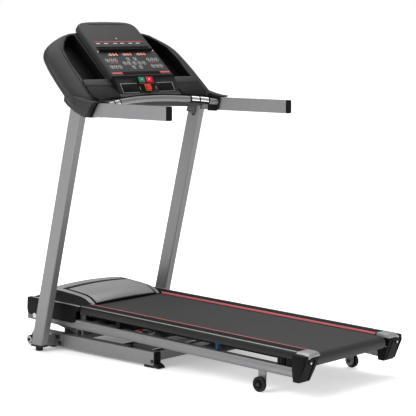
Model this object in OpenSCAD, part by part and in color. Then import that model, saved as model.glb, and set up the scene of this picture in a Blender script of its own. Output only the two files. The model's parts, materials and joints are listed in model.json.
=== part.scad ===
// Folding treadmill with a powered incline, in millimetres.
// +Z is up, +Y points to the front (motor end), +X to the user's right.
// The origin is on the floor, under the middle of the machine.

/* [Base frame] */
// Outer width over the two base side tubes
base_w = 600; // [560:5:620]
// Height of the base side tubes
base_tube_h = 60; // [50:1:62]
// Width of the base side tubes
base_tube_w = 40; // [30:1:45]
// Height of the rubber feet under the base
foot_h = 12; // [10:1:14]
// Y position of the base's rear end
base_rear_y = 24; // [0:2:60]
// Y position of the base's front end
base_front_y = 770; // [750:2:780]

/* [Uprights and handrails] */
// Overall width over the uprights and handrails
mast_w = 810; // [780:5:860]
// Width of an upright seen from behind
upright_w = 40; // [34:1:44]
// Depth of an upright seen from the side
upright_d = 70; // [60:1:76]
// Backward lean of the uprights in degrees
upright_lean = 14.5; // [13:0.5:16]
// Y position of the upright's middle line at floor level
upright_floor_y = 693; // [680:1:705]
// Height of the handrail tops above the floor
rail_top_z = 1160; // [1120:5:1180]
// Height of the handrail tube
rail_h = 60; // [50:1:64]
// Width of the handrail tube
rail_w = 30; // [26:1:34]
// Y position of the handrails' rear ends
rail_rear_y = -168; // [-250:2:-100]

/* [Deck] */
// Outer width of the deck frame
deck_w = 600; // [580:2:616]
// Height of the deck side tubes
deck_tube_h = 40; // [36:1:44]
// Width of the deck side tubes
deck_tube_w = 30; // [26:1:32]
// Length from the fold pivot to the rear end of the deck tubes
deck_l = 1612; // [1500:4:1700]
// Slope of the deck in degrees, front end higher
deck_slope = 1.15; // [0.9:0.05:1.4]
// Width of the running belt
belt_w = 450; // [420:2:456]
// Thickness of the running belt
belt_t = 2.5; // [1.5:0.1:3]
// Thickness of the deck board
board_t = 18; // [15:1:20]
// Radius of the belt rollers
roller_r = 25; // [22:0.5:26]
// Thickness of the foot rails over the board
foot_rail_h = 11; // [10:1:14]
// Diameter of the rear wheels
rear_wheel_d = 65; // [56:1:70]

/* [Pivots] */
// Y position of the fold pivot
pivot_y = 812; // [800:1:816]
// Height of the fold pivot
pivot_z = 136; // [133:1:140]
// Y position of the lift frame's pivot on the base
lift_y = 540; // [530:1:550]
// Height of the lift frame's pivot on the base
lift_z = 84; // [82:1:88]
// Radius of the fold pivot shaft
shaft_r = 8; // [7:0.5:9]
// Radial clearance of a shaft in its hole
run_gap = 0.08; // [0.05:0.01:0.1]

/* [Console] */
// Backward tilt of the control panel in degrees from level
panel_tilt = 43; // [40:0.5:46]
// Y position of the panel's lower edge
panel_y = 379; // [374:1:384]
// Height of the panel's lower edge
panel_z = 1269; // [1262:1:1290]
// Half width of the control panel at its lower edge
panel_half_w = 196; // [180:1:198]
// Length of the control panel up its slope
panel_l = 355; // [335:1:360]
// Depth of the console housing behind its bezel
console_depth = 84; // [70:1:90]

/* [Pulse bar] */
// Radius of the bar's bend
bar_bend_r = 926; // [880:2:980]
// Radius of the bar tube
bar_r = 14; // [12:0.5:15]
// Y position of the bar's middle
bar_y = 335; // [330:1:340]
// Height of the bar's middle
bar_z = 1165; // [1160:1:1168]

/* [Hidden] */
$fn = 48;
wall = 2.5;
half_base = base_w / 2;
half_mast = mast_w / 2;
half_deck = deck_w / 2;
base_top_z = foot_h + base_tube_h;
rail_bot_z = rail_top_z - rail_h;
upright_in_x = half_mast - upright_w;
rail_in_x = half_mast - rail_w;
upright_bot_z = 25;
// The rear wheel's centre in the deck's own frame
rear_wheel_r = rear_wheel_d / 2;
rear_wheel_y = -1414;
rear_wheel_z = (rear_wheel_r - pivot_z - rear_wheel_y * sin(deck_slope)) / cos(deck_slope);
wheel_w = 16;
wheel_gap = 5;
wheel_bolt_r = 5;
bracket_t = 6;
// Levels in the deck's own frame, measured from the tube's middle line
tube_top = deck_tube_h / 2;
board_bot = 60;
board_top = board_bot + board_t;
roller_gap = 0.4;
roller_z = board_top - roller_r - roller_gap;
front_roller_y = -297;
rear_roller_y = -deck_l - 15;
roller_half_w = belt_w / 2 + 3;
board_front_y = front_roller_y - 48;
board_rear_y = rear_roller_y + 42;
axle_r = 8;
rail_inner_x = belt_w / 2 + 7;
foot_rail_top = board_top + foot_rail_h;
skirt_bot = board_top - 24;
foot_rail_front_y = -312;
foot_rail_rear_y = 15 - deck_l;
plate_in_x = half_deck - deck_tube_w - 8;
plate_t = 6;
cushion_ys = [-552, -1502];
bumper_y = -1154;
cross_ys = [-375, -480, -760, -1060];
front_cross_y = 33;
cross_d = 30;
cap_half_out = half_deck + 32;
cap_half_in = 239;
cap_wall = 4;
cap_front_y = foot_rail_rear_y;
cap_rear_y = cap_front_y - 71;
cap_bot_z = -34;
cap_top_z = board_top + 5;
// Lift frame
arm_x0 = 228;
arm_x1 = 256;
arm_h = 30;
arm_l = norm([pivot_y - lift_y, pivot_z - lift_z]);
arm_angle = atan2(pivot_z - lift_z, pivot_y - lift_y);
eye_r = 20;
lift_pin_r = 7;
lift_cross_y = 640;
lift_cross_z = 46;
crank_y = 600;
crank_z = 30;
crank_x = 150;
// Incline actuator
act_y = 330;
act_z = 45;
act_pin_r = 5;
act_r = 13;
screw_r = 8;
act_dx = crank_y - act_y;
act_dz = crank_z - act_z;
act_l = norm([act_dx, act_dz]);
act_angle = atan2(act_dz, act_dx);
open_slack = 3;
// Fold strut, in the deck's own frame
strut_foot_z = -64;
strut_head_y = -480;
strut_head_z = -42;
strut_dz = strut_head_z - strut_foot_z;
strut_l = norm([strut_head_y, strut_dz]);
strut_angle = atan2(strut_dz, strut_head_y);
strut_r = 11;
rod_r = 5;
strut_pin_r = 5;
strut_slack = 7.5;
// Transport wheels and bolts
transport_y = 828;
transport_z = 22;
transport_r = 20;
transport_bolt_r = 5;
bracket_bolt_points = [[646, 56], [634, 28]];
bracket_bolt_r = 5;
// Controls, in the fascia's own frame
start_x = -23;
stop_x = 23;
button_t = -20;
button_w = 36;
button_l = 25;
key_t = -61;
// Power inlet and switch, in the deck's own frame
inlet_y = 50;
inlet_x = -150;
switch_x = -182;
inlet_z = 43;
// Handrail ends
rail_cap_l = 9;
rail_cap_fit = 0.5;
rail_cap_r = 6;
// Motor bay, in the deck's own frame
motor_y = -140;
motor_z = 50;
motor_r = 48;
motor_pulley_r = 13;
roller_pulley_r = 31;
pulley_x0 = 237;
pulley_x1 = 258;
pan_half_w = 215;
pan_floor = -14;
pan_rear_y = -250;
pan_front_y = -30;
hood_half_w = 245;
hood_profile = [[56, 3], [48, 78], [18, 101], [-32, 126], [-110, 127], [-235, 119], [-290, 102],
    [-312, 91], [-312, 84]];
side_out_x = half_deck + 5;
// Console, in the panel's own frame
rim_w = -30;
bezel_t = 4;
shell_t = 3;
pocket_depth = 52;
fascia_tilt = 63;
rim_half = [[0, 318], [187, 318], [237, 312], [277, 298], [312, 265], [340, 225], [356, 166], [362, 72],
            [366, 8], [370, -38], [366, -100], [340, -118], [200, -103], [0, -88]];
flank_half = [[0, 322], [187, 322], [237, 320], [285, 310], [328, 293], [364, 274], [395, 251],
    [421, 220],
              [433, 188], [443, 122], [448, 62], [451, -4], [452, -70], [436, -104], [366, -118],
                  [200, -103], [0, -88]];
under_half = [[0, -90], [200, -105], [366, -128], [366, -170], [0, -170]];
back_half = [[0, 262], [180, 262], [290, 225], [350, 150], [372, 40], [372, -60], [300, -92], [0, -84]];
pocket_pts = [[206, 12], [350, 12], [350, 130], [334, 214], [298, 260], [262, 292], [232, 304],
    [206, 304]];
bar_half_x = half_mast - rail_w - 4.2;
bar_tilt = 20;
grip_x0 = 235;
grip_x1 = 325;
grip_r = bar_r + 3;

// ---- helpers ----

// A box between two corners
module slab(low, high) {
    translate(low) cube(high - low);
}

// A rod along X between two X values
module rod_x(r, x0, x1) {
    translate([x0, 0, 0]) rotate([0, 90, 0]) cylinder(r = r, h = x1 - x0);
}

// A profile drawn as [y, z] points, extruded along X between two X values
module profile_x(points, x0, x1) {
    translate([x0, 0, 0]) rotate([90, 0, 90]) linear_extrude(x1 - x0) polygon(points);
}

// The same shape on both sides of the machine
module both_sides() {
    children();
    mirror([1, 0, 0]) children();
}

// One side only: "left" is -X, "right" is +X
module on_side(side) {
    if (side == "left") mirror([1, 0, 0]) children();
    else children();
}

// The deck's own frame, at the fold pivot
module in_deck() {
    translate([0, pivot_y, pivot_z]) rotate([deck_slope, 0, 0]) children();
}

// The control panel's own frame: Y runs up the panel, Z out of it
module in_console() {
    translate([0, panel_y, panel_z]) rotate([panel_tilt, 0, 0]) children();
}

// The steeper fascia below the panel
module in_fascia() {
    translate([0, panel_y, panel_z]) rotate([fascia_tilt, 0, 0]) children();
}

// A rectangular tube along Y
module tube_y(low, high) {
    difference() {
        slab(low, high);
        slab([low[0] + wall, low[1] - 1, low[2] + wall], [high[0] - wall, high[1] + 1, high[2] - wall]);
    }
}

// A rectangular tube along X with closed ends
module tube_x(low, high) {
    difference() {
        slab(low, high);
        slab([low[0] + wall, low[1] + wall, low[2] + wall],
            [high[0] - wall, high[1] - wall, high[2] - wall]);
    }
}

// A half outline and its mirror image as one polygon
module full_outline(half) {
    polygon(concat(half, [for (i = [len(half) - 2:-1:1]) [-half[i][0], half[i][1]]]));
}

// ---- base ----

module base_frame() {
    color("darkgray") {
        both_sides() {
            tube_y([half_base - base_tube_w, base_rear_y, foot_h], [half_base, base_front_y, base_top_z]);
            difference() {
                union() {
                    slab([half_base - base_tube_w, lift_y - 24, base_top_z - wall],
                         [half_base - base_tube_w + 6, lift_y + 24, lift_z]);
                    translate([0, lift_y, lift_z])
                        rod_x(24, half_base - base_tube_w, half_base - base_tube_w + 6);
                }
                translate([0, lift_y, lift_z]) rod_x(lift_pin_r, 0, half_base);
            }
            difference() {
                profile_x([[690, 20], [690, 70], [770, 84], [812, 74], [848, 30], [838, 14], [770, 14]],
                          half_base, half_base + 4);
                translate([0, transport_y, transport_z]) rod_x(transport_bolt_r, 0, half_mast);
            }
        }
        tube_x([-half_base + base_tube_w, 664, foot_h + 2], [half_base - base_tube_w, 720, 54]);
        tube_x([-half_base + base_tube_w, 60, foot_h + 8],
            [half_base - base_tube_w, 100, base_top_z - 10]);
        tube_x([-half_base + base_tube_w, 262, foot_h + 4], [half_base - base_tube_w, 300, 60]);
        for (x = [crank_x - 22, crank_x + 16]) {
            slab([x, 299, act_z - 12], [x + 6, act_y, act_z + 12]);
            translate([0, act_y, act_z]) rod_x(12, x, x + 6);
        }
        translate([0, act_y, act_z]) rod_x(act_pin_r, crank_x - 22, crank_x + 22);
    }
}

module base_end_caps() {
    color("black") both_sides() {
        slab([half_base - base_tube_w, base_rear_y - 18, foot_h], [half_base, base_rear_y, base_top_z]);
        slab([half_base - base_tube_w, base_front_y, foot_h + 2],
            [half_base, base_front_y + 6, base_top_z]);
    }
}

module base_feet() {
    color("black") both_sides() {
        slab([half_base - base_tube_w + 2, base_rear_y + 8, 0],
            [half_base - 2, base_rear_y + 60, foot_h]);
        slab([half_base - base_tube_w + 2, 690, 0], [half_base - 2, 740, foot_h]);
    }
}

module deck_stops() {
    color("black") both_sides() {
        translate([half_base - 15, 186, base_top_z]) cylinder(r = 13, h = 14);
    }
}

module upright_brackets() {
    color("darkgray") both_sides() {
        difference() {
            slab([half_base, 662, 16], [upright_in_x, 684, 68]);
            slab([half_base + 5, 667, 15], [upright_in_x - 5, 685, 69]);
        }
        difference() {
            slab([half_base, 622, 14], [half_base + 4, 662, 70]);
            for (p = bracket_bolt_points) translate([0, p[0], p[1]]) rod_x(bracket_bolt_r, 0, half_mast);
        }
    }
}

module base_bolts() {
    color("black") both_sides() {
        for (p = bracket_bolt_points) translate([0, p[0], p[1]]) {
            rod_x(bracket_bolt_r, half_base, half_base + 4);
            rod_x(9, half_base + 4, half_base + 10);
        }
        translate([0, transport_y, transport_z]) {
            rod_x(transport_bolt_r, half_base - 4, half_base + 25.5);
            rod_x(8, half_base + 25.4, half_base + 29);
            rod_x(8, half_base - 8, half_base);
        }
    }
}

// ---- uprights and handrails ----

// The leaning upright as a solid, grown by a margin
module upright_volume(margin) {
    intersection() {
        translate([upright_in_x - margin, upright_floor_y, 0])
            rotate([upright_lean, 0, 0])
            translate([0, -upright_d / 2 - margin, -60])
            cube([upright_w + 2 * margin, upright_d + 2 * margin, rail_top_z + 300]);
        slab([0, -100, upright_bot_z - margin], [half_mast + 50, 900, rail_top_z + margin]);
    }
}

module upright(side) {
    color("darkgray") on_side(side) difference() {
        upright_volume(0);
        translate([upright_in_x + wall, upright_floor_y, 0])
            rotate([upright_lean, 0, 0])
            translate([0, -upright_d / 2 + wall, 40])
            cube([upright_w - 2 * wall, upright_d - 2 * wall, rail_top_z - 20]);
    }
}

module upright_feet() {
    foot_y = upright_floor_y - upright_bot_z * tan(upright_lean);
    color("dimgray") both_sides() {
        slab([upright_in_x, foot_y - 38, 19], [half_mast, foot_y + 38, upright_bot_z]);
        translate([half_mast - upright_w / 2, foot_y, 0]) cylinder(r = 17, h = 19);
    }
}

// The straight handrail as a solid, grown by a margin
module handrail_volume(margin) {
    difference() {
        slab([rail_in_x - margin, rail_rear_y + rail_cap_l - margin, rail_bot_z - margin],
             [half_mast + margin, upright_floor_y, rail_top_z + margin]);
        translate([0, upright_floor_y, 0])
            rotate([upright_lean, 0, 0])
            translate([0, -upright_d / 2, -60])
            cube([half_mast + 50, 900, rail_top_z + 500]);
    }
}

module handrail(side) {
    color("darkgray") on_side(side) difference() {
        handrail_volume(0);
        slab([rail_in_x + wall, rail_rear_y, rail_bot_z + wall],
            [half_mast - wall, 300, rail_top_z - wall]);
    }
}

module handrail_caps() {
    color("black") both_sides() {
        translate([rail_in_x + rail_w / 2, rail_rear_y + rail_cap_l, rail_bot_z + rail_h / 2])
            rotate([90, 0, 0])
            linear_extrude(rail_cap_l)
            offset(r = rail_cap_r)
            square([rail_w, rail_h] - 2 * (rail_cap_r - rail_cap_fit) * [1, 1], center = true);
    }
}

module handrail_collars() {
    color("black") both_sides() difference() {
        slab([rail_in_x - 4, 250, rail_bot_z - 4], [half_mast + 4, 318, rail_top_z + 4]);
        slab([rail_in_x, 249, rail_bot_z], [half_mast, 319, rail_top_z]);
        profile_x([[240, rail_top_z + 3], [255, rail_top_z - 5], [294, rail_bot_z - 5], [240, rail_bot_z - 5]],
                  rail_in_x - 5, half_mast + 5);
    }
}

// ---- pulse bar ----

// The bar's own frame, with its bend in the XY plane
module in_bar() {
    translate([0, bar_y, bar_z]) rotate([bar_tilt, 0, 0]) translate([0, -bar_bend_r, 0]) children();
}

// A stretch of the bar between two X values, from a ring section
module bar_stretch(x0, x1) {
    a0 = asin(x0 / bar_bend_r);
    a1 = asin(x1 / bar_bend_r);
    rotate([0, 0, 90 - a1]) rotate_extrude(angle = a1 - a0, $fn = 180) translate([bar_bend_r, 0])
        children();
}

module pulse_bar() {
    color("silver") intersection() {
        in_bar() bar_stretch(-bar_half_x - 12, bar_half_x + 12) difference() {
            circle(r = bar_r);
            circle(r = bar_r - 2);
        }
        slab([-bar_half_x, 0, 0], [bar_half_x, 900, 2000]);
    }
}

module pulse_grips() {
    color("black") both_sides() in_bar() bar_stretch(grip_x0, grip_x1) difference() {
        circle(r = grip_r);
        circle(r = bar_r + 0.1);
        rotate(10) square([grip_r + 5, grip_r + 5]);
        translate([-grip_r - 5, 0]) square([grip_r + 5, grip_r + 5]);
    }
}

module pulse_sensors() {
    mid = (grip_x0 + grip_x1) / 2;
    color("gainsboro") both_sides() in_bar() {
        for (span = [[grip_x0, mid - 2], [mid + 2, grip_x1]]) bar_stretch(span[0], span[1])
            intersection() {
            difference() {
                circle(r = grip_r - 0.5);
                circle(r = bar_r + 0.1);
            }
            translate([-grip_r - 5, 0.3]) square([grip_r + 5, grip_r + 5]);
        }
    }
}

// ---- console ----

module console_support() {
    tube_v = [-44, -20];
    tube_w = [-66, -42];
    plate = [[398, 1076], [452, 1090], [424, 1170], [412, 1212], [380, 1212], [372, 1190]];
    color("dimgray") {
        in_console() tube_x([-upright_in_x + 6, tube_v[0], tube_w[0]],
            [upright_in_x - 6, tube_v[1], tube_w[1]]);
        both_sides() profile_x(plate, upright_in_x - 6, upright_in_x - 0.2);
    }
}

// The lofted console body, grown inwards by a wall
module console_body(inset, low_w, high_w) {
    difference() {
        hull() {
            translate([0, 0, high_w - 1]) linear_extrude(1) offset(delta = -inset) full_outline(rim_half);
            translate([0, 0, rim_w - 48]) linear_extrude(1) offset(delta = -inset)
                full_outline(flank_half);
            translate([0, 0, low_w]) linear_extrude(1) offset(delta = -inset) full_outline(back_half);
        }
        translate([0, 0, low_w - 1]) linear_extrude(high_w - low_w + 2) offset(delta = inset)
            full_outline(under_half);
    }
}

module console_housing() {
    color("dimgray") difference() {
        in_console() difference() {
            console_body(0, rim_w - bezel_t - console_depth, rim_w - bezel_t);
            console_body(shell_t, rim_w - bezel_t - console_depth + shell_t, rim_w - bezel_t + 1);
        }
        in_bar() bar_stretch(-bar_half_x - 12, bar_half_x + 12) circle(r = bar_r + 1);
        both_sides() {
            upright_volume(1);
            handrail_volume(1);
            slab([rail_in_x - 5, 249, rail_bot_z - 5], [half_mast + 5, 319, rail_top_z + 5]);
            slab([upright_in_x - 8, 340, 1060], [upright_in_x + 1, 460, 1190]);
        }
    }
}

module console_bezel() {
    color("black") difference() {
        in_console() difference() {
            translate([0, 0, rim_w - bezel_t]) linear_extrude(bezel_t) full_outline(rim_half);
            both_sides() translate([0, 0, rim_w - bezel_t - 1]) linear_extrude(bezel_t + 2)
                polygon(pocket_pts);
        }
        both_sides() {
            slab([rail_in_x - 5, 249, rail_bot_z - 5], [half_mast + 5, 319, rail_top_z + 5]);
            handrail_volume(1);
        }
    }
}

module console_panel() {
    edge = [[100, panel_l - 2], [150, panel_l - 9], [176, panel_l - 21], [187, panel_l - 39],
        [panel_half_w, 0]];
    color("gray") in_console() difference() {
        translate([0, 0, rim_w]) linear_extrude(-rim_w)
            full_outline(concat([[0, panel_l]], edge, [[0, 0]]));
        slab([-160, 12, rim_w - 1], [160, panel_l - 36, -5]);
        slab([-168, 163, -4], [168, 194, 1]);
        slab([-110, 10, -4], [110, 22, 1]);
    }
}

module holder(side) {
    color("black") on_side(side) in_console() difference() {
        translate([0, 0, rim_w - bezel_t - pocket_depth]) linear_extrude(pocket_depth + bezel_t)
            offset(delta = -0.3) polygon(pocket_pts);
        translate([0, 0, rim_w - bezel_t - pocket_depth + shell_t])
            linear_extrude(pocket_depth + bezel_t + 1)
            offset(delta = -0.3 - shell_t) polygon(pocket_pts);
    }
}

module console_fascia() {
    slope = tan(fascia_tilt - panel_tilt);
    color("black") difference() {
        in_console() profile_x([[-0.2, -0.2 * slope], [rim_w / slope, rim_w], [-0.2, rim_w]],
                               -panel_half_w, panel_half_w);
        in_fascia() {
            for (x = [start_x, stop_x]) slab([x - button_w / 2 - 0.5, button_t - button_l / 2 - 0.5, -9],
                                                 [x + button_w / 2 + 0.5, button_t + button_l / 2 + 0.5,
                                                     5]);
            slab([-8.5, key_t - 8.5, -7], [8.5, key_t + 8.5, 5]);
            both_sides() slab([70, -80, -11], [160, -46, 5]);
        }
    }
}

module start_button() {
    color("green") in_fascia() slab([start_x - button_w / 2, button_t - button_l / 2, -6],
                                    [start_x + button_w / 2, button_t + button_l / 2, 3]);
}

module stop_button() {
    color("red") in_fascia() slab([stop_x - button_w / 2, button_t - button_l / 2, -6],
                                  [stop_x + button_w / 2, button_t + button_l / 2, 3]);
}

module safety_key() {
    color("red") in_fascia() {
        slab([-13, key_t - 13, 0.2], [13, key_t + 13, 12]);
        slab([-8, key_t - 8, -6], [8, key_t + 8, 0.2]);
    }
}

// ---- lift frame and incline drive ----

module lift_frame() {
    color("darkgray") difference() {
        union() {
            both_sides() {
                translate([0, lift_y, lift_z]) rotate([arm_angle, 0, 0]) {
                    slab([arm_x0, 0, -arm_h / 2], [arm_x1, arm_l, arm_h / 2]);
                    rod_x(eye_r, arm_x0, arm_x1);
                    translate([0, arm_l, 0]) rod_x(eye_r, arm_x0, arm_x1);
                }
                slab([arm_x0, lift_cross_y - 15, lift_cross_z], [arm_x1, lift_cross_y + 15, lift_z + 16]);
            }
            slab([-arm_x1, lift_cross_y - 15, lift_cross_z],
                [arm_x1, lift_cross_y + 15, lift_cross_z + 14]);
            for (x = [crank_x - 14, crank_x + 9])
                profile_x([[crank_y - 10, crank_z - 4], [crank_y + 6, crank_z - 10],
                [lift_cross_y + 12, lift_cross_z + 4], [lift_cross_y - 12, lift_cross_z + 10],
                [crank_y - 8, crank_z + 9]], x, x + 5);
        }
        translate([0, lift_y, lift_z]) rod_x(lift_pin_r + run_gap, -half_base, half_base);
        translate([0, pivot_y, pivot_z]) rod_x(shaft_r, -half_base, half_base);
    }
    color("darkgray") translate([0, crank_y, crank_z]) rod_x(act_pin_r, crank_x - 14, crank_x + 14);
}

module lift_pins() {
    color("black") both_sides() translate([0, lift_y, lift_z]) {
        rod_x(lift_pin_r, arm_x0 - 6, half_base - base_tube_w + 6);
        rod_x(11, half_base - base_tube_w + 6, half_base - base_tube_w + 13);
        rod_x(11, arm_x0 - 12, arm_x0 - 0.3);
    }
}

module pivot_shaft() {
    color("silver") translate([0, pivot_y, pivot_z]) {
        rod_x(shaft_r, -half_deck - 3, half_deck + 3);
        both_sides() rod_x(shaft_r + 4, half_deck + 0.3, half_deck + 5);
    }
}

// The actuator's own frame: Y runs from the base pin to the crank pin
module in_actuator() {
    translate([crank_x, act_y, act_z]) rotate([act_angle, 0, 0]) children();
}

module incline_motor() {
    color("dimgray") in_actuator() {
        difference() {
            union() {
                rod_x(11, -9, 9);
                slab([-9, 0, -9], [9, 30, 9]);
            }
            rod_x(act_pin_r + run_gap, -10, 10);
        }
        difference() {
            slab([-22, 20, -22], [40, 86, 22]);
            translate([0, 60, 0]) rotate([-90, 0, 0]) cylinder(r = screw_r + 1, h = 40);
        }
        difference() {
            translate([0, 86, 0]) rotate([-90, 0, 0]) cylinder(r = act_r, h = 124);
            translate([0, 80, 0]) rotate([-90, 0, 0]) cylinder(r = screw_r + 1, h = 140);
        }
    }
}

module incline_screw() {
    color("silver") in_actuator() {
        difference() {
            union() {
                translate([0, 90, 0]) rotate([-90, 0, 0])
                    cylinder(r = screw_r, h = act_l - 90 - act_pin_r - open_slack - 1);
                translate([0, act_l, 0]) rod_x(act_pin_r + open_slack + 3, -8, 8);
            }
            translate([0, act_l, 0]) rod_x(act_pin_r + open_slack, -9, 9);
        }
    }
}

// ---- fold strut ----

module tilt_cradle() {
    color("darkgray") {
        translate([0, pivot_y, pivot_z]) difference() {
            rod_x(15, -pan_half_w - 8, pan_half_w + 8);
            rod_x(shaft_r + run_gap, -pan_half_w - 9, pan_half_w + 9);
        }
        in_deck() {
            for (x = [-22, 16]) difference() {
                union() {
                    slab([x, -12, strut_foot_z], [x + 6, 12, -13]);
                    translate([0, 0, strut_foot_z]) rod_x(12, x, x + 6);
                }
                rod_x(14, x - 1, x + 7);
            }
            translate([0, 0, strut_foot_z]) rod_x(strut_pin_r, -22, 22);
        }
    }
}

// The strut's own frame: Y runs from its foot to its head
module in_strut() {
    in_deck() translate([0, 0, strut_foot_z]) rotate([strut_angle, 0, 0]) children();
}

module strut_cylinder() {
    color("dimgray") in_strut() {
        difference() {
            union() {
                rod_x(10, -9, 9);
                translate([0, 4, 0]) rotate([-90, 0, 0]) cylinder(r = strut_r, h = 384);
            }
            rod_x(strut_pin_r + run_gap, -12, 12);
            translate([0, 40, 0]) rotate([-90, 0, 0]) cylinder(r = rod_r + run_gap, h = 360);
        }
    }
}

module strut_rod() {
    color("silver") in_strut() difference() {
        union() {
            translate([0, 60, 0]) rotate([-90, 0, 0]) cylinder(r = rod_r, h = strut_l - 74);
            translate([0, strut_l, 0]) rod_x(strut_pin_r + strut_slack + 4, -9, 9);
        }
        translate([0, strut_l, 0]) rod_x(strut_pin_r + strut_slack, -10, 10);
    }
}

module release_sleeve() {
    color("red") in_strut() translate([0, 390, 0]) rotate([-90, 0, 0]) difference() {
        cylinder(r = 15, h = 26);
        translate([0, 0, -1]) cylinder(r = rod_r + run_gap, h = 28);
    }
}

// ---- deck ----

module deck_frame() {
    wheel_plate_x1 = half_deck - 3;
    wheel_plate_x0 = wheel_plate_x1 - bracket_t;
    color("darkgray") in_deck() difference() {
        union() {
            both_sides() {
                tube_y([half_deck - deck_tube_w, -deck_l, -tube_top], [half_deck, 48, tube_top]);
                slab([wheel_plate_x0, rear_wheel_y - 20, rear_wheel_z],
                    [wheel_plate_x1, rear_wheel_y + 20, -tube_top + 1]);
                translate([0, rear_wheel_y, rear_wheel_z]) rod_x(20, wheel_plate_x0, wheel_plate_x1);
                slab([plate_in_x, front_roller_y - 16, -tube_top],
                     [plate_in_x + plate_t, front_roller_y + 16, roller_z + 14]);
                slab([plate_in_x, rear_roller_y - 14, tube_top - 4],
                     [plate_in_x + plate_t, rear_roller_y + 16, roller_z + 14]);
                slab([plate_in_x, rear_roller_y, -tube_top],
                    [plate_in_x + 8, rear_roller_y + 70, tube_top]);
                slab([plate_in_x + 5, front_roller_y - 16, -tube_top],
                    [plate_in_x + 8, front_roller_y + 16, tube_top]);
            }
            for (y = cross_ys) {
                tube_x([-half_deck + deck_tube_w, y - cross_d / 2, -tube_top],
                       [half_deck - deck_tube_w, y + cross_d / 2, tube_top]);
            }
            tube_x([-half_deck + deck_tube_w, front_cross_y - 7, 4],
                [half_deck - deck_tube_w, 48, tube_top]);
            for (x = [-18, 12]) {
                slab([x, strut_head_y - 12, strut_head_z], [x + 6, strut_head_y + 12, -tube_top + 1]);
                translate([0, strut_head_y, strut_head_z]) rod_x(12, x, x + 6);
            }
        }
        both_sides() {
            rod_x(shaft_r + run_gap, half_deck - deck_tube_w - 1, half_deck + 1);
            translate([0, rear_wheel_y, rear_wheel_z]) rod_x(wheel_bolt_r, 0, half_mast);
            for (y = [front_roller_y, rear_roller_y]) translate([0, y, roller_z])
                rod_x(axle_r, 0, half_mast);
        }
    }
    color("darkgray") in_deck() translate([0, strut_head_y, strut_head_z]) rod_x(strut_pin_r, -18, 18);
}

module deck_end_caps() {
    color("black") in_deck() both_sides() {
        slab([half_deck - deck_tube_w, 48, -tube_top], [half_deck, 53, tube_top]);
    }
}

module deck_board() {
    color("saddlebrown") in_deck()
        slab([-half_deck + 12, board_rear_y, board_bot], [half_deck - 12, board_front_y, board_top]);
}

// The belt's loop seen from the side, grown by a thickness
module belt_loop(r) {
    hull() {
        translate([front_roller_y, roller_z]) circle(r = r, $fn = 64);
        translate([rear_roller_y, roller_z]) circle(r = r, $fn = 64);
    }
}

module running_belt() {
    inner = roller_r + roller_gap;
    color("dimgray") in_deck() translate([-belt_w / 2, 0, 0]) rotate([90, 0, 90]) linear_extrude(belt_w)
        difference() {
        belt_loop(inner + belt_t);
        belt_loop(inner);
    }
}

module foot_rail(side) {
    color("black") on_side(side) in_deck() {
        y0 = foot_rail_rear_y;
        y1 = foot_rail_front_y;
        slab([rail_inner_x, y0, foot_rail_top - 4], [half_deck, y1, foot_rail_top]);
        slab([half_deck - 4, y0, skirt_bot], [half_deck, y1, foot_rail_top - 4]);
        slab([rail_inner_x, y0, board_top + 0.2], [rail_inner_x + 4, y1, foot_rail_top - 4]);
        slab([half_deck - 40, y0, board_top + 0.2], [half_deck - 36, y1, foot_rail_top - 4]);
    }
}

module deck_cushions() {
    color("black") in_deck() both_sides() {
        for (y = cushion_ys) translate([half_deck - 18, y, tube_top])
            cylinder(r = 12, h = board_bot - tube_top);
    }
}

module deck_bumpers() {
    color("navy") in_deck() both_sides() {
        translate([half_deck - 18, bumper_y, tube_top]) cylinder(r = 12, h = board_bot - tube_top);
    }
}

module roller_axles() {
    color("silver") in_deck() {
        for (y = [front_roller_y, rear_roller_y]) translate([0, y, roller_z]) {
            rod_x(axle_r, -plate_in_x - plate_t - 8, plate_in_x + plate_t + 8);
        }
    }
}

module roller(y) {
    color("silver") in_deck() translate([0, y, roller_z]) difference() {
        rod_x(roller_r, -roller_half_w, roller_half_w);
        rod_x(axle_r + run_gap, -roller_half_w - 1, roller_half_w + 1);
    }
}

module front_roller() {
    roller(front_roller_y);
    color("black") in_deck() translate([0, front_roller_y, roller_z]) difference() {
        union() {
            rod_x(roller_pulley_r - 1, pulley_x0, pulley_x1);
            rod_x(22, roller_half_w, pulley_x0);
        }
        rod_x(axle_r + run_gap, 0, half_deck);
    }
}

module rear_roller() {
    roller(rear_roller_y);
}

module rear_cap(side) {
    outer = [[cap_front_y, cap_bot_z], [cap_rear_y + 36, cap_bot_z], [cap_rear_y, cap_top_z - 8],
             [cap_rear_y + 6, cap_top_z + 4], [cap_rear_y + 30, cap_top_z + 9],
                 [cap_front_y, cap_top_z + 9]];
    inner = [[cap_front_y + 1, cap_bot_z + cap_wall], [cap_rear_y + 36 + cap_wall, cap_bot_z + cap_wall],
             [cap_rear_y + cap_wall, cap_top_z - 8], [cap_rear_y + 8 + cap_wall, cap_top_z + 1],
             [cap_rear_y + 32, cap_top_z + 5], [cap_front_y + 1, cap_top_z + 5]];
    color("black") on_side(side) in_deck() difference() {
        profile_x(outer, cap_half_in, cap_half_out);
        profile_x(inner, cap_half_in + cap_wall, cap_half_out - cap_wall);
        translate([0, rear_roller_y, roller_z])
            rod_x(axle_r + 1, cap_half_in - 1, cap_half_in + cap_wall + 1);
    }
}

module rear_wheel(side) {
    x0 = half_deck + wheel_gap - 2;
    color("black") on_side(side) in_deck() translate([0, rear_wheel_y, rear_wheel_z]) difference() {
        rod_x(rear_wheel_r, x0, x0 + wheel_w);
        rod_x(wheel_bolt_r + run_gap, x0 - 1, x0 + wheel_w + 1);
    }
}

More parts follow.
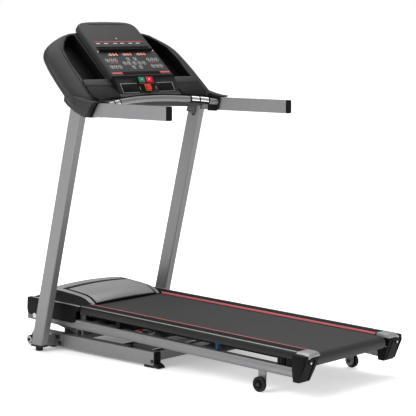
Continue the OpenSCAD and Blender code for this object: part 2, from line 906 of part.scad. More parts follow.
module wheel_bolts() {
    x0 = half_deck - 3 - bracket_t;
    x1 = half_deck + wheel_gap - 2 + wheel_w;
    color("silver") in_deck() both_sides() translate([0, rear_wheel_y, rear_wheel_z]) {
        rod_x(wheel_bolt_r, x0, x1 + 0.5);
        rod_x(9, x1 + 0.4, x1 + 5);
        rod_x(9, x0 - 6, x0);
    }
}

module transport_wheel(side) {
    x0 = half_base + 7;
    color("silver") on_side(side) translate([0, transport_y, transport_z]) difference() {
        rod_x(transport_r, x0, x0 + 18);
        rod_x(transport_bolt_r + run_gap, x0 - 1, x0 + 19);
    }
}

// ---- motor bay ----

module drive_motor() {
    color("dimgray") in_deck() {
        difference() {
            translate([0, motor_y, motor_z]) rod_x(motor_r, -140, 60);
            translate([0, motor_y, motor_z]) rod_x(shaft_r + run_gap, -20, 61);
        }
        for (x = [-130, 34]) slab([x, motor_y - 26, pan_floor + 3], [x + 14, motor_y + 26, motor_z - 40]);
    }
}

module motor_rotor() {
    color("silver") in_deck() translate([0, motor_y, motor_z]) {
        rod_x(shaft_r, -18, pulley_x1);
        rod_x(56, 70, 92);
        rod_x(motor_pulley_r - 1, pulley_x0, pulley_x1);
    }
}

// The drive belt's loop round its two pulleys, grown by a thickness
module drive_loop(extra) {
    hull() {
        translate([motor_y, motor_z]) circle(r = motor_pulley_r + extra, $fn = 48);
        translate([front_roller_y, roller_z]) circle(r = roller_pulley_r + extra, $fn = 64);
    }
}

module drive_belt() {
    color("black") in_deck() translate([pulley_x0 + 3, 0, 0]) rotate([90, 0, 90])
        linear_extrude(pulley_x1 - pulley_x0 - 6) difference() {
            drive_loop(2);
            drive_loop(-0.6);
        }
}

module motor_pan() {
    color("black") in_deck() difference() {
        union() {
            slab([-pan_half_w, pan_rear_y, pan_floor], [pan_half_w, pan_front_y, tube_top + 2]);
            both_sides() slab([pan_half_w - 3, pan_rear_y, tube_top],
                [half_deck - 12, pan_front_y, tube_top + 2]);
        }
        slab([-pan_half_w + 3, pan_rear_y + 3, pan_floor + 3],
            [pan_half_w - 3, pan_front_y - 3, tube_top + 3]);
    }
}

module motor_hood() {
    inlet_low = [-205.3, inlet_y - 15, inlet_z - 22.3];
    inlet_high = [-124.7, inlet_y + 8, inlet_z + 22.3];
    low = [[56, 3], [48, 78], [26, 86], [-312, 86], [-312, 84]];
    color("darkgray") in_deck() {
        difference() {
            profile_x(concat(hood_profile, [[-312, 84], [-309, 24], [48, 24], [52, 3]]), -hood_half_w,
                hood_half_w);
            profile_x([[49, 0], [45, 76], [16, 98], [-33, 123], [-110, 124], [-234, 116], [-288, 99.5],
                [-310, 89],
                       [-320, 84], [-320, 20], [49, 20]], -hood_half_w - 1, hood_half_w + 1);
            slab(inlet_low, inlet_high);
        }
    }
    color("black") in_deck() both_sides() {
        difference() {
            hull() {
                profile_x(concat(hood_profile, [[48, 24], [-300, 84]]), hood_half_w, hood_half_w + 1);
                profile_x(low, half_deck, half_deck + 0.5);
            }
            hull() {
                profile_x([[45, 4], [45, 76], [15, 97], [-33, 122], [-110, 123], [-233, 115],
                    [-287, 98.5], [-306, 86],
                           [-320, 83], [-320, 20], [45, 0]], hood_half_w - 1, hood_half_w + 1);
                profile_x([[45, 4], [45, 76], [24, 82], [-320, 82], [-320, 20], [45, 0]], half_deck - 3,
                    half_deck - 2.5);
            }
            slab([0, -320, -1], [half_deck + 2, 57, 24]);
        }
        difference() {
            profile_x([[52, 3], [52, 90], [-286, 90], [-286, 30], [-268, 12], [40, 4]], half_deck + 0.5,
                side_out_x - 1);
            rod_x(shaft_r + 6, 0, half_mast);
        }
    }
}

module power_inlet() {
    color("black") in_deck() difference() {
        slab([-205, inlet_y - 14, inlet_z - 22], [-125, inlet_y + 6, inlet_z + 22]);
        slab([inlet_x - 14, inlet_y - 8, inlet_z - 11], [inlet_x + 14, inlet_y + 7, inlet_z + 11]);
        slab([switch_x - 8, inlet_y - 8, inlet_z - 14], [switch_x + 8, inlet_y + 7, inlet_z + 14]);
    }
}

module power_switch() {
    color("red") in_deck() translate([switch_x, inlet_y + 2, inlet_z]) difference() {
        rod_x(10, -7, 7);
        slab([-8, 4, -11], [8, 11, 11]);
        slab([-8, -11, -11], [8, -5, 11]);
    }
}

base_frame();
base_end_caps();
base_feet();
deck_stops();
upright_brackets();
base_bolts();
upright("left");  // left_upright
upright("right");  // right_upright
upright_feet();
transport_wheel("left");  // left_transport_wheel
transport_wheel("right");  // right_transport_wheel
handrail("left");  // left_handrail
handrail("right");  // right_handrail
handrail_caps();
handrail_collars();
pulse_bar();
pulse_grips();
pulse_sensors();
console_support();
console_housing();
console_bezel();
console_panel();
holder("left");  // left_holder
holder("right");  // right_holder
console_fascia();
start_button();
stop_button();
safety_key();
lift_frame();
lift_pins();
pivot_shaft();
incline_motor();
incline_screw();
tilt_cradle();
strut_cylinder();
strut_rod();
release_sleeve();
deck_frame();
deck_end_caps();
deck_board();
running_belt();
foot_rail("left");  // left_foot_rail
foot_rail("right");  // right_foot_rail
deck_cushions();
deck_bumpers();
roller_axles();
front_roller();
rear_roller();
rear_cap("left");  // left_rear_cap
rear_cap("right");  // right_rear_cap
rear_wheel("left");  // left_rear_wheel
rear_wheel("right");  // right_rear_wheel
wheel_bolts();
drive_motor();
motor_rotor();
drive_belt();
motor_pan();
motor_hood();
power_inlet();
power_switch();
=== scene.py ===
import json
import logging
import math
from dataclasses import dataclass
from enum import Enum
from typing import Optional, Sequence

import bmesh
import bpy
from mathutils import Matrix, Vector


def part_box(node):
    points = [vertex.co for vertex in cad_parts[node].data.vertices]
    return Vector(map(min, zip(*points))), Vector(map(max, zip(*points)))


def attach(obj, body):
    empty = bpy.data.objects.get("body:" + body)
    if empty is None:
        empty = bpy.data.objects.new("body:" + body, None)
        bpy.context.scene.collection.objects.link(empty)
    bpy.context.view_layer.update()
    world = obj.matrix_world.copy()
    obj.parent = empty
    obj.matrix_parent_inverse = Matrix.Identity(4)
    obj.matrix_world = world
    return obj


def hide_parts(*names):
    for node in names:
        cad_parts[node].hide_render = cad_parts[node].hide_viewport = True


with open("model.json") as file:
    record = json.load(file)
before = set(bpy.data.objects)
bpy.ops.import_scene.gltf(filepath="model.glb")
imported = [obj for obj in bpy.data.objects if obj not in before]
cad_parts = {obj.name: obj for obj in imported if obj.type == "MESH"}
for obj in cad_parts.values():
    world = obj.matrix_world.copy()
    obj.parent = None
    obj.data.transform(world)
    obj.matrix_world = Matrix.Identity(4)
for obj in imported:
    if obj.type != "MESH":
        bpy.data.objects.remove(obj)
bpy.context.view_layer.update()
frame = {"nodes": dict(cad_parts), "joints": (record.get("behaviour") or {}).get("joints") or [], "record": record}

LOG = logging.getLogger("treadmill")
MM = 0.001
Point2 = tuple[float, float]
Point3 = tuple[float, float, float]


# ---------------------------------------------------------------- materials

# Scales of the surface patterns, in cells per metre, and how far the roughness swings.
CLOUD_SCALE = 5.0
WEAR_SCALE = 9.0
SMEAR_SCALE = 14.0
BLOOM_SCALE = 22.0
SCUFF_SCALE = 38.0
DIAMOND_SCALE = 130.0
FIBRE_SCALE = 160.0
PEEL_SCALE = 190.0
DRAWN_LINE_SCALE = 420.0
FLECK_SCALE = 2600.0
ROUGHNESS_SWING = 0.10


class Pattern(Enum):
    """The surface structure that a finish carries."""

    POWDER = "powder"
    MOULDED = "moulded"
    RUBBER = "rubber"
    WOVEN = "woven"
    BRUSHED = "brushed"
    WOOD = "wood"
    GLASSY = "glassy"


class Val:
    """A shader value whose arithmetic adds Math nodes."""

    def __init__(self, net: "Net", socket: bpy.types.NodeSocket) -> None:
        """Wraps one output socket of a net."""
        self.net = net
        self.socket = socket

    def _op(self, operation: str, first: object, second: object) -> "Val":
        """Adds one Math node over two values."""
        return self.net.node("ShaderNodeMath", {"operation": operation}, {0: first, 1: second})

    def __add__(self, other: object) -> "Val":
        """Sum."""
        return self._op("ADD", self, other)

    def __radd__(self, other: object) -> "Val":
        """Reflected sum."""
        return self._op("ADD", other, self)

    def __sub__(self, other: object) -> "Val":
        """Difference."""
        return self._op("SUBTRACT", self, other)

    def __rsub__(self, other: object) -> "Val":
        """Reflected difference."""
        return self._op("SUBTRACT", other, self)

    def __mul__(self, other: object) -> "Val":
        """Product."""
        return self._op("MULTIPLY", self, other)

    def __rmul__(self, other: object) -> "Val":
        """Reflected product."""
        return self._op("MULTIPLY", other, self)

    def above(self, other: object) -> "Val":
        """One where this value is over the other."""
        return self._op("GREATER_THAN", self, other)


class Net:
    """One material's node tree."""

    def __init__(self, name: str) -> None:
        """Starts a material with an empty Principled shader."""
        self.material = bpy.data.materials.new(name)
        self.material.use_nodes = True
        self.tree = self.material.node_tree
        self.shader = self.tree.nodes["Principled BSDF"]

    def node(self, kind: str, settings: Optional[dict] = None, values: Optional[dict] = None,
             output: object = 0) -> Val:
        """Adds a node.

        Args:
            kind: The node's type name.
            settings: Its settings; "stops" sets a ramp's colours.
            values: Its sockets' values or links.
            output: The output socket to return.

        Returns:
            The chosen output as a value.
        """
        made = self.tree.nodes.new(kind)
        for key, value in (settings or {}).items():
            if key == "stops":
                for stop, (place, colour) in zip(made.color_ramp.elements, value):
                    stop.position = place
                    stop.color = colour
            else:
                setattr(made, key, value)
        for key, value in (values or {}).items():
            self.feed(made.inputs[key], value)
        return Val(self, made.outputs[output])

    def feed(self, socket: bpy.types.NodeSocket, value: object) -> None:
        """Links or sets one socket."""
        if isinstance(value, Val):
            self.tree.links.new(value.socket, socket)
        else:
            socket.default_value = value

    def set(self, name: str, value: object) -> None:
        """Links or sets one socket of the shader."""
        self.feed(self.shader.inputs[name], value)

    def place(self, scale: Point3 = (1.0, 1.0, 1.0)) -> Val:
        """Object coordinates, stretched along each axis."""
        coords = self.node("ShaderNodeTexCoord", output="Object")
        return self.node("ShaderNodeMapping", {}, {"Vector": coords, "Scale": scale})

    def noise(self, scale: float, detail: float = 2.0, stretch: Point3 = (1.0, 1.0, 1.0)) -> Val:
        """A noise value from 0 to 1."""
        values = {"Vector": self.place(stretch), "Scale": scale, "Detail": detail}
        return self.node("ShaderNodeTexNoise", {}, values)

    def blend(self, factor: object, first: Sequence[float], second: Sequence[float]) -> Val:
        """Mixes two colours."""
        return self.node("ShaderNodeMix", {"data_type": "RGBA"}, {0: factor, 6: first, 7: second}, 2)

    def bump(self, height: object, distance: float, strength: float = 0.6) -> None:
        """Feeds a height through a Bump node to the normal."""
        values = {"Height": height, "Distance": distance, "Strength": strength}
        self.set("Normal", self.node("ShaderNodeBump", {}, values))


@dataclass(frozen=True)
class Finish:
    """One material: its colour, gloss, grain and structure."""

    label: str
    colour: Point3
    roughness: float
    pattern: Pattern
    metallic: float = 0.0
    coat: float = 0.0
    grain: float = 700.0
    relief: float = 0.0002
    spread: float = 0.12
    glow: float = 0.0
    shine: float = 0.5

    def tone(self, factor: float) -> tuple[float, float, float, float]:
        """The colour made lighter or darker."""
        return tuple(min(1.0, c * factor) for c in self.colour) + (1.0,)

    def material(self) -> bpy.types.Material:
        """The finish's material, made once."""
        found = bpy.data.materials.get(self.label)
        return found or self.make()

    def make(self) -> bpy.types.Material:
        """Builds the node tree."""
        net = Net(self.label)
        cloud = net.noise(CLOUD_SCALE, 3.0)
        fine = net.noise(self.grain, 2.0)
        shade = net.blend(cloud, self.tone(1.0 - self.spread), self.tone(1.0 + self.spread))
        net.set("Metallic", self.metallic)
        net.set("Coat Weight", self.coat)
        net.set("Specular IOR Level", self.shine)
        rough = self.roughness + (cloud - 0.5) * ROUGHNESS_SWING + (fine - 0.5) * ROUGHNESS_SWING
        build = {
            Pattern.POWDER: self.powder,
            Pattern.MOULDED: self.moulded,
            Pattern.RUBBER: self.rubber,
            Pattern.WOVEN: self.woven,
            Pattern.BRUSHED: self.brushed,
            Pattern.WOOD: self.wood,
            Pattern.GLASSY: self.glassy,
        }[self.pattern]
        build(net, shade, rough, fine)
        if self.glow:
            net.set("Emission Color", self.tone(1.0))
            net.set("Emission Strength", self.glow)
        return net.material

    def powder(self, net: Net, shade: Val, rough: Val, fine: Val) -> None:
        """Powder coat: metallic flecks in a fine orange peel."""
        fleck = net.noise(FLECK_SCALE, 1.0).above(0.60)
        lit = net.blend(fleck * 0.5, shade, self.tone(1.5))
        net.set("Base Color", lit)
        net.set("Roughness", rough)
        net.bump(fine * 0.7 + net.noise(PEEL_SCALE, 1.0) * 0.6, self.relief)

    def moulded(self, net: Net, shade: Val, rough: Val, fine: Val) -> None:
        """Moulded plastic with a fine spark-eroded grain and soft scuffs."""
        values = {"Vector": net.place(), "Scale": self.grain}
        cells = net.node("ShaderNodeTexVoronoi", {}, values, "Distance")
        scuff = net.noise(SCUFF_SCALE, 6.0, (1.0, 0.25, 1.0)).above(0.66)
        net.set("Base Color", net.blend(scuff * 0.18, shade, self.tone(1.7)))
        net.set("Roughness", rough + scuff * 0.06)
        net.bump(cells * 0.8 + fine * 0.4, self.relief)

    def rubber(self, net: Net, shade: Val, rough: Val, fine: Val) -> None:
        """Rubber with a dusty bloom."""
        bloom = net.noise(BLOOM_SCALE, 5.0)
        net.set("Base Color", net.blend(bloom * 0.35, shade, self.tone(1.9)))
        net.set("Roughness", rough)
        net.bump(fine, self.relief)

    def woven(self, net: Net, shade: Val, rough: Val, fine: Val) -> None:
        """A belt's top: small embossed diamonds and faint lengthwise wear."""
        bands = []
        for turn in (math.radians(45), math.radians(-45)):
            coords = net.node("ShaderNodeTexCoord", output="Object")
            turned = net.node("ShaderNodeMapping", {}, {"Vector": coords, "Rotation": (0.0, 0.0, turn)})
            values = {"Vector": turned, "Scale": DIAMOND_SCALE}
            bands.append(net.node("ShaderNodeTexWave", {"bands_direction": "X"}, values, 1))
        diamonds = bands[0] * bands[1]
        wear = net.noise(WEAR_SCALE, 4.0, (3.0, 0.18, 1.0))
        worn = net.blend(wear * 0.5, shade, self.tone(1.35))
        net.set("Base Color", net.blend(diamonds * 0.22, worn, self.tone(1.6)))
        net.set("Roughness", rough - diamonds * 0.08)
        net.bump(diamonds * 0.8 + fine * 0.3, self.relief)

    def brushed(self, net: Net, shade: Val, rough: Val, fine: Val) -> None:
        """Bare or plated metal with fine drawn lines."""
        lines = net.noise(DRAWN_LINE_SCALE, 3.0, (0.05, 1.0, 1.0))
        net.set("Base Color", net.blend(lines * 0.4, shade, self.tone(1.25)))
        net.set("Roughness", rough + lines * 0.10)
        net.bump(lines * 0.5 + fine * 0.2, self.relief)

    def wood(self, net: Net, shade: Val, rough: Val, fine: Val) -> None:
        """Pressed board: a fibrous edge."""
        fibre = net.noise(FIBRE_SCALE, 5.0, (1.0, 1.0, 6.0))
        net.set("Base Color", net.blend(fibre, shade, self.tone(0.6)))
        net.set("Roughness", rough)
        net.bump(fibre, self.relief)

    def glassy(self, net: Net, shade: Val, rough: Val, fine: Val) -> None:
        """A smooth glossy face with faint smears."""
        smear = net.noise(SMEAR_SCALE, 6.0, (1.0, 2.5, 1.0))
        net.set("Base Color", shade)
        net.set("Roughness", self.roughness + smear * 0.12)
        net.bump(smear * 0.3 + fine * 0.1, self.relief)


GREY = (0.180, 0.180, 0.184)
COAT = Finish("silver_powder_coat", GREY, 0.42, Pattern.POWDER,
              metallic=0.35, grain=900.0, relief=0.00012, spread=0.05)
DARK_COAT = Finish("dark_powder_coat", (0.05, 0.05, 0.053), 0.45, Pattern.POWDER, metallic=0.3)
ZINC = Finish("zinc_plate", (0.45, 0.45, 0.46), 0.34, Pattern.BRUSHED,
              metallic=0.9, grain=900.0, relief=0.00008)
CHROME = Finish("polished_sensor", (0.72, 0.72, 0.73), 0.16, Pattern.BRUSHED,
                metallic=1.0, relief=0.00003, spread=0.04)
BOLT = Finish("black_oxide", (0.022, 0.022, 0.024), 0.38, Pattern.BRUSHED, metallic=0.6)
SHELL = Finish("dark_grey_shell", (0.018, 0.018, 0.0187), 0.48, Pattern.MOULDED,
               grain=1100.0, relief=0.0001, shine=0.2)
BLACK = Finish("black_moulding", (0.0035, 0.0035, 0.0038), 0.52, Pattern.MOULDED,
               grain=1100.0, relief=0.0001, shine=0.08)
POCKET = Finish("pocket_black", (0.0035, 0.0035, 0.004), 0.5, Pattern.MOULDED, grain=1000.0, shine=0.1)
PANEL = Finish("panel_overlay", (0.031, 0.031, 0.0322), 0.48, Pattern.MOULDED,
               grain=1500.0, relief=0.00005, spread=0.06, shine=0.15)
HOOD = Finish("silver_hood", (0.31, 0.31, 0.315), 0.40, Pattern.MOULDED,
              metallic=0.25, grain=1200.0, relief=0.00008, spread=0.05)
SKIRT = Finish("rail_black", (0.009, 0.009, 0.0095), 0.44, Pattern.MOULDED,
               grain=900.0, relief=0.00012, shine=0.2)
# Silver for the trays' real trim, also used as painted highlight on the foot rails' and hood ledges' outer edges.
SILVER_TRIM_AND_HIGHLIGHT = Finish("rail_edge_silver", (0.30, 0.30, 0.30), 0.35, Pattern.BRUSHED, metallic=0.5)
BELT = Finish("belt_weave", (0.027, 0.027, 0.0278), 0.62, Pattern.WOVEN,
              grain=1300.0, relief=0.0003, spread=0.07, shine=0.3)
RUBBER = Finish("black_rubber", (0.008, 0.008, 0.0085), 0.66, Pattern.RUBBER, shine=0.25)
BLUE = Finish("bumper_blue", (0.002, 0.022, 0.070), 0.5, Pattern.RUBBER, shine=0.2)
BOARD = Finish("deck_fibre", (0.10, 0.075, 0.055), 0.6, Pattern.WOOD)
RED = Finish("accent_red", (0.62, 0.035, 0.045), 0.38, Pattern.GLASSY)
PALE_RED = Finish("accent_rail_red", (0.78, 0.18, 0.21), 0.42, Pattern.GLASSY)
GREEN = Finish("start_green", (0.0, 0.235, 0.135), 0.34, Pattern.GLASSY, shine=0.3)
STOP = Finish("stop_red", (0.78, 0.012, 0.045), 0.34, Pattern.GLASSY, shine=0.3)
KEY = Finish("key_red", (0.62, 0.012, 0.008), 0.30, Pattern.GLASSY, coat=0.3)
KEY_RIM = Finish("key_rim_amber", (0.34, 0.10, 0.01), 0.5, Pattern.MOULDED)
WINDOW = Finish("display_window", (0.02, 0.012, 0.012), 0.12, Pattern.GLASSY, coat=0.6, relief=0.00002)
DIGIT = Finish("display_digit", (0.85, 0.22, 0.08), 0.4, Pattern.GLASSY, glow=0.35)
MARK = Finish("printed_mark", (0.55, 0.55, 0.56), 0.45, Pattern.GLASSY, spread=0.03)
SOFT_MARK = Finish("printed_mark_soft", (0.30, 0.30, 0.31), 0.45, Pattern.GLASSY, spread=0.03)
MOTOR = Finish("motor_enamel", (0.02, 0.02, 0.022), 0.45, Pattern.POWDER, shine=0.35)
WHEEL = Finish("wheel_nylon", (0.42, 0.42, 0.43), 0.40, Pattern.MOULDED)


# ---------------------------------------------------------------- placing

# Metres and degrees. Forms are drawn with the fold pivot at DRAWN_PIVOT_Y; SHIFT brings them to the frame.
DRAWN_PIVOT_Y = 0.812
DECK_SLOPE = 1.15
PANEL_FOOT = (0.0, 0.379, 1.269)
PANEL_TILT = 43.0
FASCIA_TILT = 63.0
BAR_PLACE = (0.0, 0.335, 1.165)
BAR_TILT = 20.0

# Mesh clean-up: the merge distance in millimetres and the turn of an edge that is still flat, in degrees.
MERGE_DISTANCE = 0.01
FLAT_ANGLE = 1.0


def tilted(degrees: float) -> Matrix:
    """A turn about X."""
    return Matrix.Rotation(math.radians(degrees), 4, "X")


JOINTS = {j["name"]: j for j in frame["joints"]}
PIVOT = Vector(JOINTS["fold"]["pos_m"])
SHIFT = Matrix.Translation((0.0, PIVOT.y - DRAWN_PIVOT_Y, 0.0))
DECK = Matrix.Translation(PIVOT) @ tilted(DECK_SLOPE)
IN_FRAME = Matrix.Identity(4)
CONSOLE = SHIFT @ Matrix.Translation(PANEL_FOOT) @ tilted(PANEL_TILT)
FASCIA = SHIFT @ Matrix.Translation(PANEL_FOOT) @ tilted(FASCIA_TILT)
BAR = SHIFT @ Matrix.Translation(BAR_PLACE) @ tilted(BAR_TILT)


class Side(Enum):
    """The user's left or right, as a sign along X."""

    LEFT = -1
    RIGHT = 1

    @property
    def word(self) -> str:
        """The side's name in a piece's name."""
        return self.name.lower()


class Form:
    """A mesh under construction, in millimetres."""

    def __init__(self) -> None:
        """Starts an empty mesh."""
        self.bm = bmesh.new()

    def _new(self, made: dict) -> list[bmesh.types.BMVert]:
        """The vertices in an operator's result."""
        return [v for v in made["geom"] if isinstance(v, bmesh.types.BMVert)]

    def _all(self) -> list:
        """Every vertex, edge and face."""
        return self.bm.verts[:] + self.bm.edges[:] + self.bm.faces[:]

    def box(self, low: Point3, high: Point3) -> "Form":
        """Adds a box between two corners."""
        size = [b - a for a, b in zip(low, high)]
        mid = [(a + b) / 2 for a, b in zip(low, high)]
        matrix = Matrix.Translation(mid) @ Matrix.Diagonal((*size, 1.0))
        bmesh.ops.create_cube(self.bm, size=1.0, matrix=matrix)
        return self

    def rod(self, centre: Point3, radius: float, length: float, axis: str = "X", sides: int = 40,
            far: Optional[float] = None) -> "Form":
        """Adds a cylinder or cone.

        Args:
            centre: The middle point.
            radius: The radius at the low end.
            length: The length along the axis.
            axis: "X", "Y" or "Z".
            sides: The number of sides.
            far: The radius at the high end, if it differs.

        Returns:
            The form.
        """
        turns = {"X": Matrix.Rotation(math.pi / 2, 4, "Y"), "Y": Matrix.Rotation(-math.pi / 2, 4, "X"),
                 "Z": Matrix.Identity(4)}
        matrix = Matrix.Translation(centre) @ turns[axis]
        high = radius if far is None else far
        bmesh.ops.create_cone(self.bm, cap_ends=True, segments=sides, radius1=radius, radius2=high,
                              depth=length, matrix=matrix)
        return self

    def prism(self, outline: Sequence[Point2], low: float, high: float, along: str = "X") -> "Form":
        """Adds an outline pushed along an axis.

        Args:
            outline: Points in YZ for "X", or in XY for "Z".
            low: Where it starts along the axis.
            high: Where it ends.
            along: "X" or "Z".

        Returns:
            The form.
        """
        at = (lambda p: (low, p[0], p[1])) if along == "X" else (lambda p: (p[0], p[1], low))
        push = Vector((high - low, 0, 0)) if along == "X" else Vector((0, 0, high - low))
        face = self.bm.faces.new([self.bm.verts.new(at(p)) for p in outline])
        made = bmesh.ops.extrude_face_region(self.bm, geom=[face], use_keep_orig=True)
        bmesh.ops.translate(self.bm, vec=push, verts=self._new(made))
        bmesh.ops.recalc_face_normals(self.bm, faces=self.bm.faces[:])
        return self

    def loft(self, rings: Sequence[Sequence[Point3]], caps: tuple[bool, bool] = (True, True)) -> "Form":
        """Bridges rings of points, closing the ends that are asked for."""
        loops = []
        for ring in rings:
            verts = [self.bm.verts.new(p) for p in ring]
            loops.append([self.bm.edges.new((a, b)) for a, b in zip(verts, verts[1:] + verts[:1])])
        for first, second in zip(loops, loops[1:]):
            bmesh.ops.bridge_loops(self.bm, edges=first + second)
        for loop, wanted in ((loops[0], caps[0]), (loops[-1], caps[1])):
            if wanted:
                bmesh.ops.contextual_create(self.bm, geom=loop)
        bmesh.ops.recalc_face_normals(self.bm, faces=self.bm.faces[:])
        return self

    def bevel(self, width: float, segments: int = 3, angle: float = 40.0,
              keep: Optional[object] = None) -> "Form":
        """Rounds the edges that turn more than an angle.

        Args:
            width: The bevel's width.
            segments: Its number of steps.
            angle: The least turn of an edge, in degrees.
            keep: A test that an edge has to pass, if any.

        Returns:
            The form.
        """
        limit = math.radians(angle)
        edges = [e for e in self.bm.edges
                 if len(e.link_faces) == 2 and e.calc_face_angle(0.0) > limit and (keep is None or keep(e))]
        if edges:
            bmesh.ops.bevel(self.bm, geom=edges, offset=width, offset_type="OFFSET", affect="EDGES",
                            segments=segments, profile=0.5, material=-1, clamp_overlap=True)
        return self

    def slice(self, axis: str, places: Sequence[float]) -> "Form":
        """Cuts the mesh across an axis at several places."""
        index = "XYZ".index(axis)
        for place in places:
            spot, normal = Vector(), Vector()
            spot[index], normal[index] = place, 1.0
            bmesh.ops.bisect_plane(self.bm, geom=self._all(), plane_co=spot, plane_no=normal)
        return self

    def warp(self, rule: object) -> "Form":
        """Moves every vertex by a rule from its place to a new one."""
        for vert in self.bm.verts:
            vert.co = Vector(rule(vert.co))
        return self

    def turn(self, matrix: Matrix) -> "Form":
        """Transforms the whole mesh."""
        bmesh.ops.transform(self.bm, matrix=matrix, verts=self.bm.verts[:])
        return self

    def mirror(self) -> "Form":
        """Adds the mirror image across X."""
        made = bmesh.ops.duplicate(self.bm, geom=self._all())
        bmesh.ops.scale(self.bm, vec=(-1, 1, 1), verts=self._new(made))
        faces = [f for f in made["geom"] if isinstance(f, bmesh.types.BMFace)]
        bmesh.ops.reverse_faces(self.bm, faces=faces)
        return self

    def to_side(self, side: Side) -> "Form":
        """Turns a form that was drawn on the right to a side."""
        if side is Side.LEFT:
            bmesh.ops.scale(self.bm, vec=(-1, 1, 1), verts=self.bm.verts[:])
            bmesh.ops.reverse_faces(self.bm, faces=self.bm.faces[:])
        return self

    def piece(self, name: str, finish: Finish, body: str, slot: str, place: Matrix = SHIFT,
              hides: Sequence[str] = (), smooth: float = 35.0) -> bpy.types.Object:
        """Finishes the mesh as a piece.

        Args:
            name: The piece's name.
            finish: Its finish.
            body: The body it rides on.
            slot: The record's material slot; not used.
            place: The frame that the form is drawn in.
            hides: The nodes it stands for.
            smooth: The angle under which edges are smooth.

        Returns:
            The new object.
        """
        bmesh.ops.transform(self.bm, matrix=place @ Matrix.Scale(MM, 4), verts=self.bm.verts[:])
        mesh = bpy.data.meshes.new(name)
        self.bm.to_mesh(mesh)
        self.bm.free()
        mesh.shade_smooth()
        mesh.set_sharp_from_angle(angle=math.radians(smooth))
        mesh.materials.append(finish.material())
        obj = bpy.data.objects.new(name, mesh)
        bpy.context.scene.collection.objects.link(obj)
        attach(obj, body)
        if hides:
            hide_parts(*hides)
        LOG.info("%s: %d faces", name, len(mesh.polygons))
        return obj


def body_of(node: str) -> str:
    """The body that a node belongs to."""
    return next(b for b, nodes in frame["record"]["behaviour"]["bodies"].items() if node in nodes)


def slot_of(node: str) -> str:
    """The record's material slot of a node."""
    return next(s["material_slot"] for s in frame["record"]["subparts"] if s["node"] == node)


def paint(node: str, finish: Finish) -> None:
    """Gives a carried-over node its finish."""
    mesh = frame["nodes"][node].data
    for place in range(max(1, len(mesh.materials))):
        if len(mesh.materials) <= place:
            mesh.materials.append(finish.material())
        mesh.materials[place] = finish.material()


def flat_weighted(obj: bpy.types.Object) -> bpy.types.Object:
    """Keeps an object's large flat faces flat in its shading."""
    modifier = obj.modifiers.new("flat faces", "WEIGHTED_NORMAL")
    modifier.keep_sharp = True
    modifier.weight = 100
    return obj


def softened(node: str, finish: Finish, width: float, segments: int = 3,
             angle: float = 50.0) -> bpy.types.Object:
    """A node's shape with its edges rounded, standing for the node.

    Args:
        node: The node to copy.
        finish: The finish.
        width: The rounding in millimetres.
        segments: The steps of the rounding.
        angle: The least turn of a rounded edge.

    Returns:
        The new piece.
    """
    form = Form()
    form.bm.from_mesh(frame["nodes"][node].data)
    form.turn(Matrix.Scale(1 / MM, 4))
    bmesh.ops.remove_doubles(form.bm, verts=form.bm.verts[:], dist=MERGE_DISTANCE)
    bmesh.ops.dissolve_limit(form.bm, angle_limit=math.radians(FLAT_ANGLE), verts=form.bm.verts[:],
                             edges=form.bm.edges[:])
    form.bevel(width, segments, angle)
    obj = form.piece(f"{node}_form", finish, body_of(node), slot_of(node), IN_FRAME, [node])
    return flat_weighted(obj)


def ring_of(half: Sequence[Point2], count: int, rounds: int = 2) -> list[Point2]:
    """A smooth closed outline from its right half.

    Args:
        half: Points from the top middle round the right side to the bottom middle.
        count: How many points the outline gets.
        rounds: How often its corners are cut.

    Returns:
        Evenly spaced points, from the top middle.
    """
    points = list(half)
    for _ in range(rounds):
        cut = [points[0]]
        for (ax, ay), (bx, by) in zip(points, points[1:]):
            cut += [(ax * 0.75 + bx * 0.25, ay * 0.75 + by * 0.25),
                    (ax * 0.25 + bx * 0.75, ay * 0.25 + by * 0.75)]
        points = cut + [points[-1]]
    lengths = [0.0]
    for a, b in zip(points, points[1:]):
        lengths.append(lengths[-1] + math.dist(a, b))
    steps = count // 2
    right = []
    spot = 0
    for i in range(steps + 1):
        goal = lengths[-1] * i / steps
        while spot < len(points) - 2 and lengths[spot + 1] < goal:
            spot += 1
        part = (goal - lengths[spot]) / max(1e-9, lengths[spot + 1] - lengths[spot])
        a, b = points[spot], points[spot + 1]
        right.append((a[0] + (b[0] - a[0]) * part, a[1] + (b[1] - a[1]) * part))
    return right + [(-x, y) for x, y in right[-2:0:-1]]


def mixed(first: Sequence[Point2], second: Sequence[Point2], part: float) -> list[Point2]:
    """An outline part of the way from one outline to another."""
    return [(a[0] + (b[0] - a[0]) * part, a[1] + (b[1] - a[1]) * part) for a, b in zip(first, second)]


# ---------------------------------------------------------------- structure


